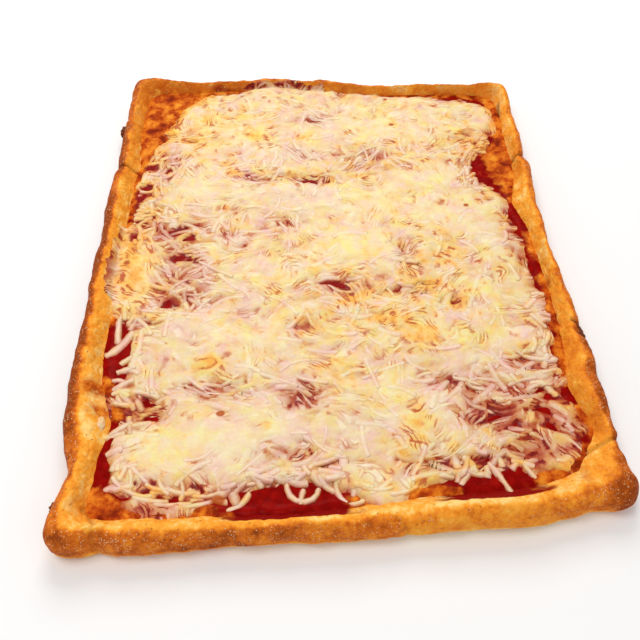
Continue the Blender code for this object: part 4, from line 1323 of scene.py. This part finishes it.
class PIZZA_OT_cheese(bpy.types.Operator):
    """Build the melted sheet of cheese"""

    bl_idname = "pizza.cheese"
    bl_label = "Cheese sheet"

    def execute(self, context):
        build_sheet(cheese_map(context.scene.pizza_shapes), context.scene.pizza_finish)
        return {"FINISHED"}


class PIZZA_OT_shreds(bpy.types.Operator):
    """Build the melted shreds on the sheet and at its edge"""

    bl_idname = "pizza.shreds"
    bl_label = "Cheese shreds"

    def execute(self, context):
        settings = context.scene.pizza_shapes
        finish = context.scene.pizza_finish
        cheese = cheese_map(settings)
        build_shreds("low_shreds", cheese, settings, finish, settings.seed, rise=0.00016, keep_open=0.25)
        build_shreds("top_shreds", cheese, settings, finish, settings.seed + 1, rise=0.00028, keep_open=0.08)
        build_edge_shreds(cheese, settings, finish)
        return {"FINISHED"}


class PIZZA_OT_bits(bpy.types.Operator):
    """Build the burnt bits and the scraps of cheese on the crust"""

    bl_idname = "pizza.bits"
    bl_label = "Bits on the crust"

    def execute(self, context):
        finish = context.scene.pizza_finish
        build_bits("burnt_bits", BURNT_BITS, burnt_material(), "crust", craggy=0.35)
        build_bits("cheese_scraps", CHEESE_SCRAPS, cheese_material(finish), "cheese", craggy=0.20)
        return {"FINISHED"}


class PIZZA_OT_stage(bpy.types.Operator):
    """Build the floor, the lights and the camera"""

    bl_idname = "pizza.stage"
    bl_label = "Studio stage"

    def execute(self, context):
        build_stage(context.scene.pizza_stage, context.scene.pizza_finish)
        return {"FINISHED"}


OPERATORS = (PIZZA_OT_crust, PIZZA_OT_sauce, PIZZA_OT_cheese, PIZZA_OT_shreds, PIZZA_OT_bits, PIZZA_OT_stage)


class PIZZA_PT_panel(bpy.types.Panel):
    """Sizes, colours and builders of the pizza"""

    bl_idname = "PIZZA_PT_panel"
    bl_label = "Sicilian Pizza"
    bl_space_type = "VIEW_3D"
    bl_region_type = "UI"
    bl_category = "Pizza"

    def draw(self, context):
        scene = context.scene
        for group in (scene.pizza_shapes, scene.pizza_finish, scene.pizza_stage):
            box = self.layout.box()
            for name in group.__annotations__:
                box.prop(group, name)
        for operator in OPERATORS:
            self.layout.operator(operator.bl_idname)


CLASSES = (PizzaShapes, PizzaFinish, PizzaStage, *OPERATORS, PIZZA_PT_panel)


def register():
    for kind in CLASSES:
        bpy.utils.register_class(kind)
    bpy.types.Scene.pizza_shapes = PointerProperty(type=PizzaShapes)
    bpy.types.Scene.pizza_finish = PointerProperty(type=PizzaFinish)
    bpy.types.Scene.pizza_stage = PointerProperty(type=PizzaStage)


def unregister():
    del bpy.types.Scene.pizza_stage
    del bpy.types.Scene.pizza_finish
    del bpy.types.Scene.pizza_shapes
    for kind in reversed(CLASSES):
        bpy.utils.unregister_class(kind)


def main():
    register()
    bpy.ops.pizza.crust()
    bpy.ops.pizza.sauce()
    bpy.ops.pizza.cheese()
    bpy.ops.pizza.shreds()
    bpy.ops.pizza.bits()
    bpy.ops.pizza.stage()


if __name__ == "__main__":
    main()
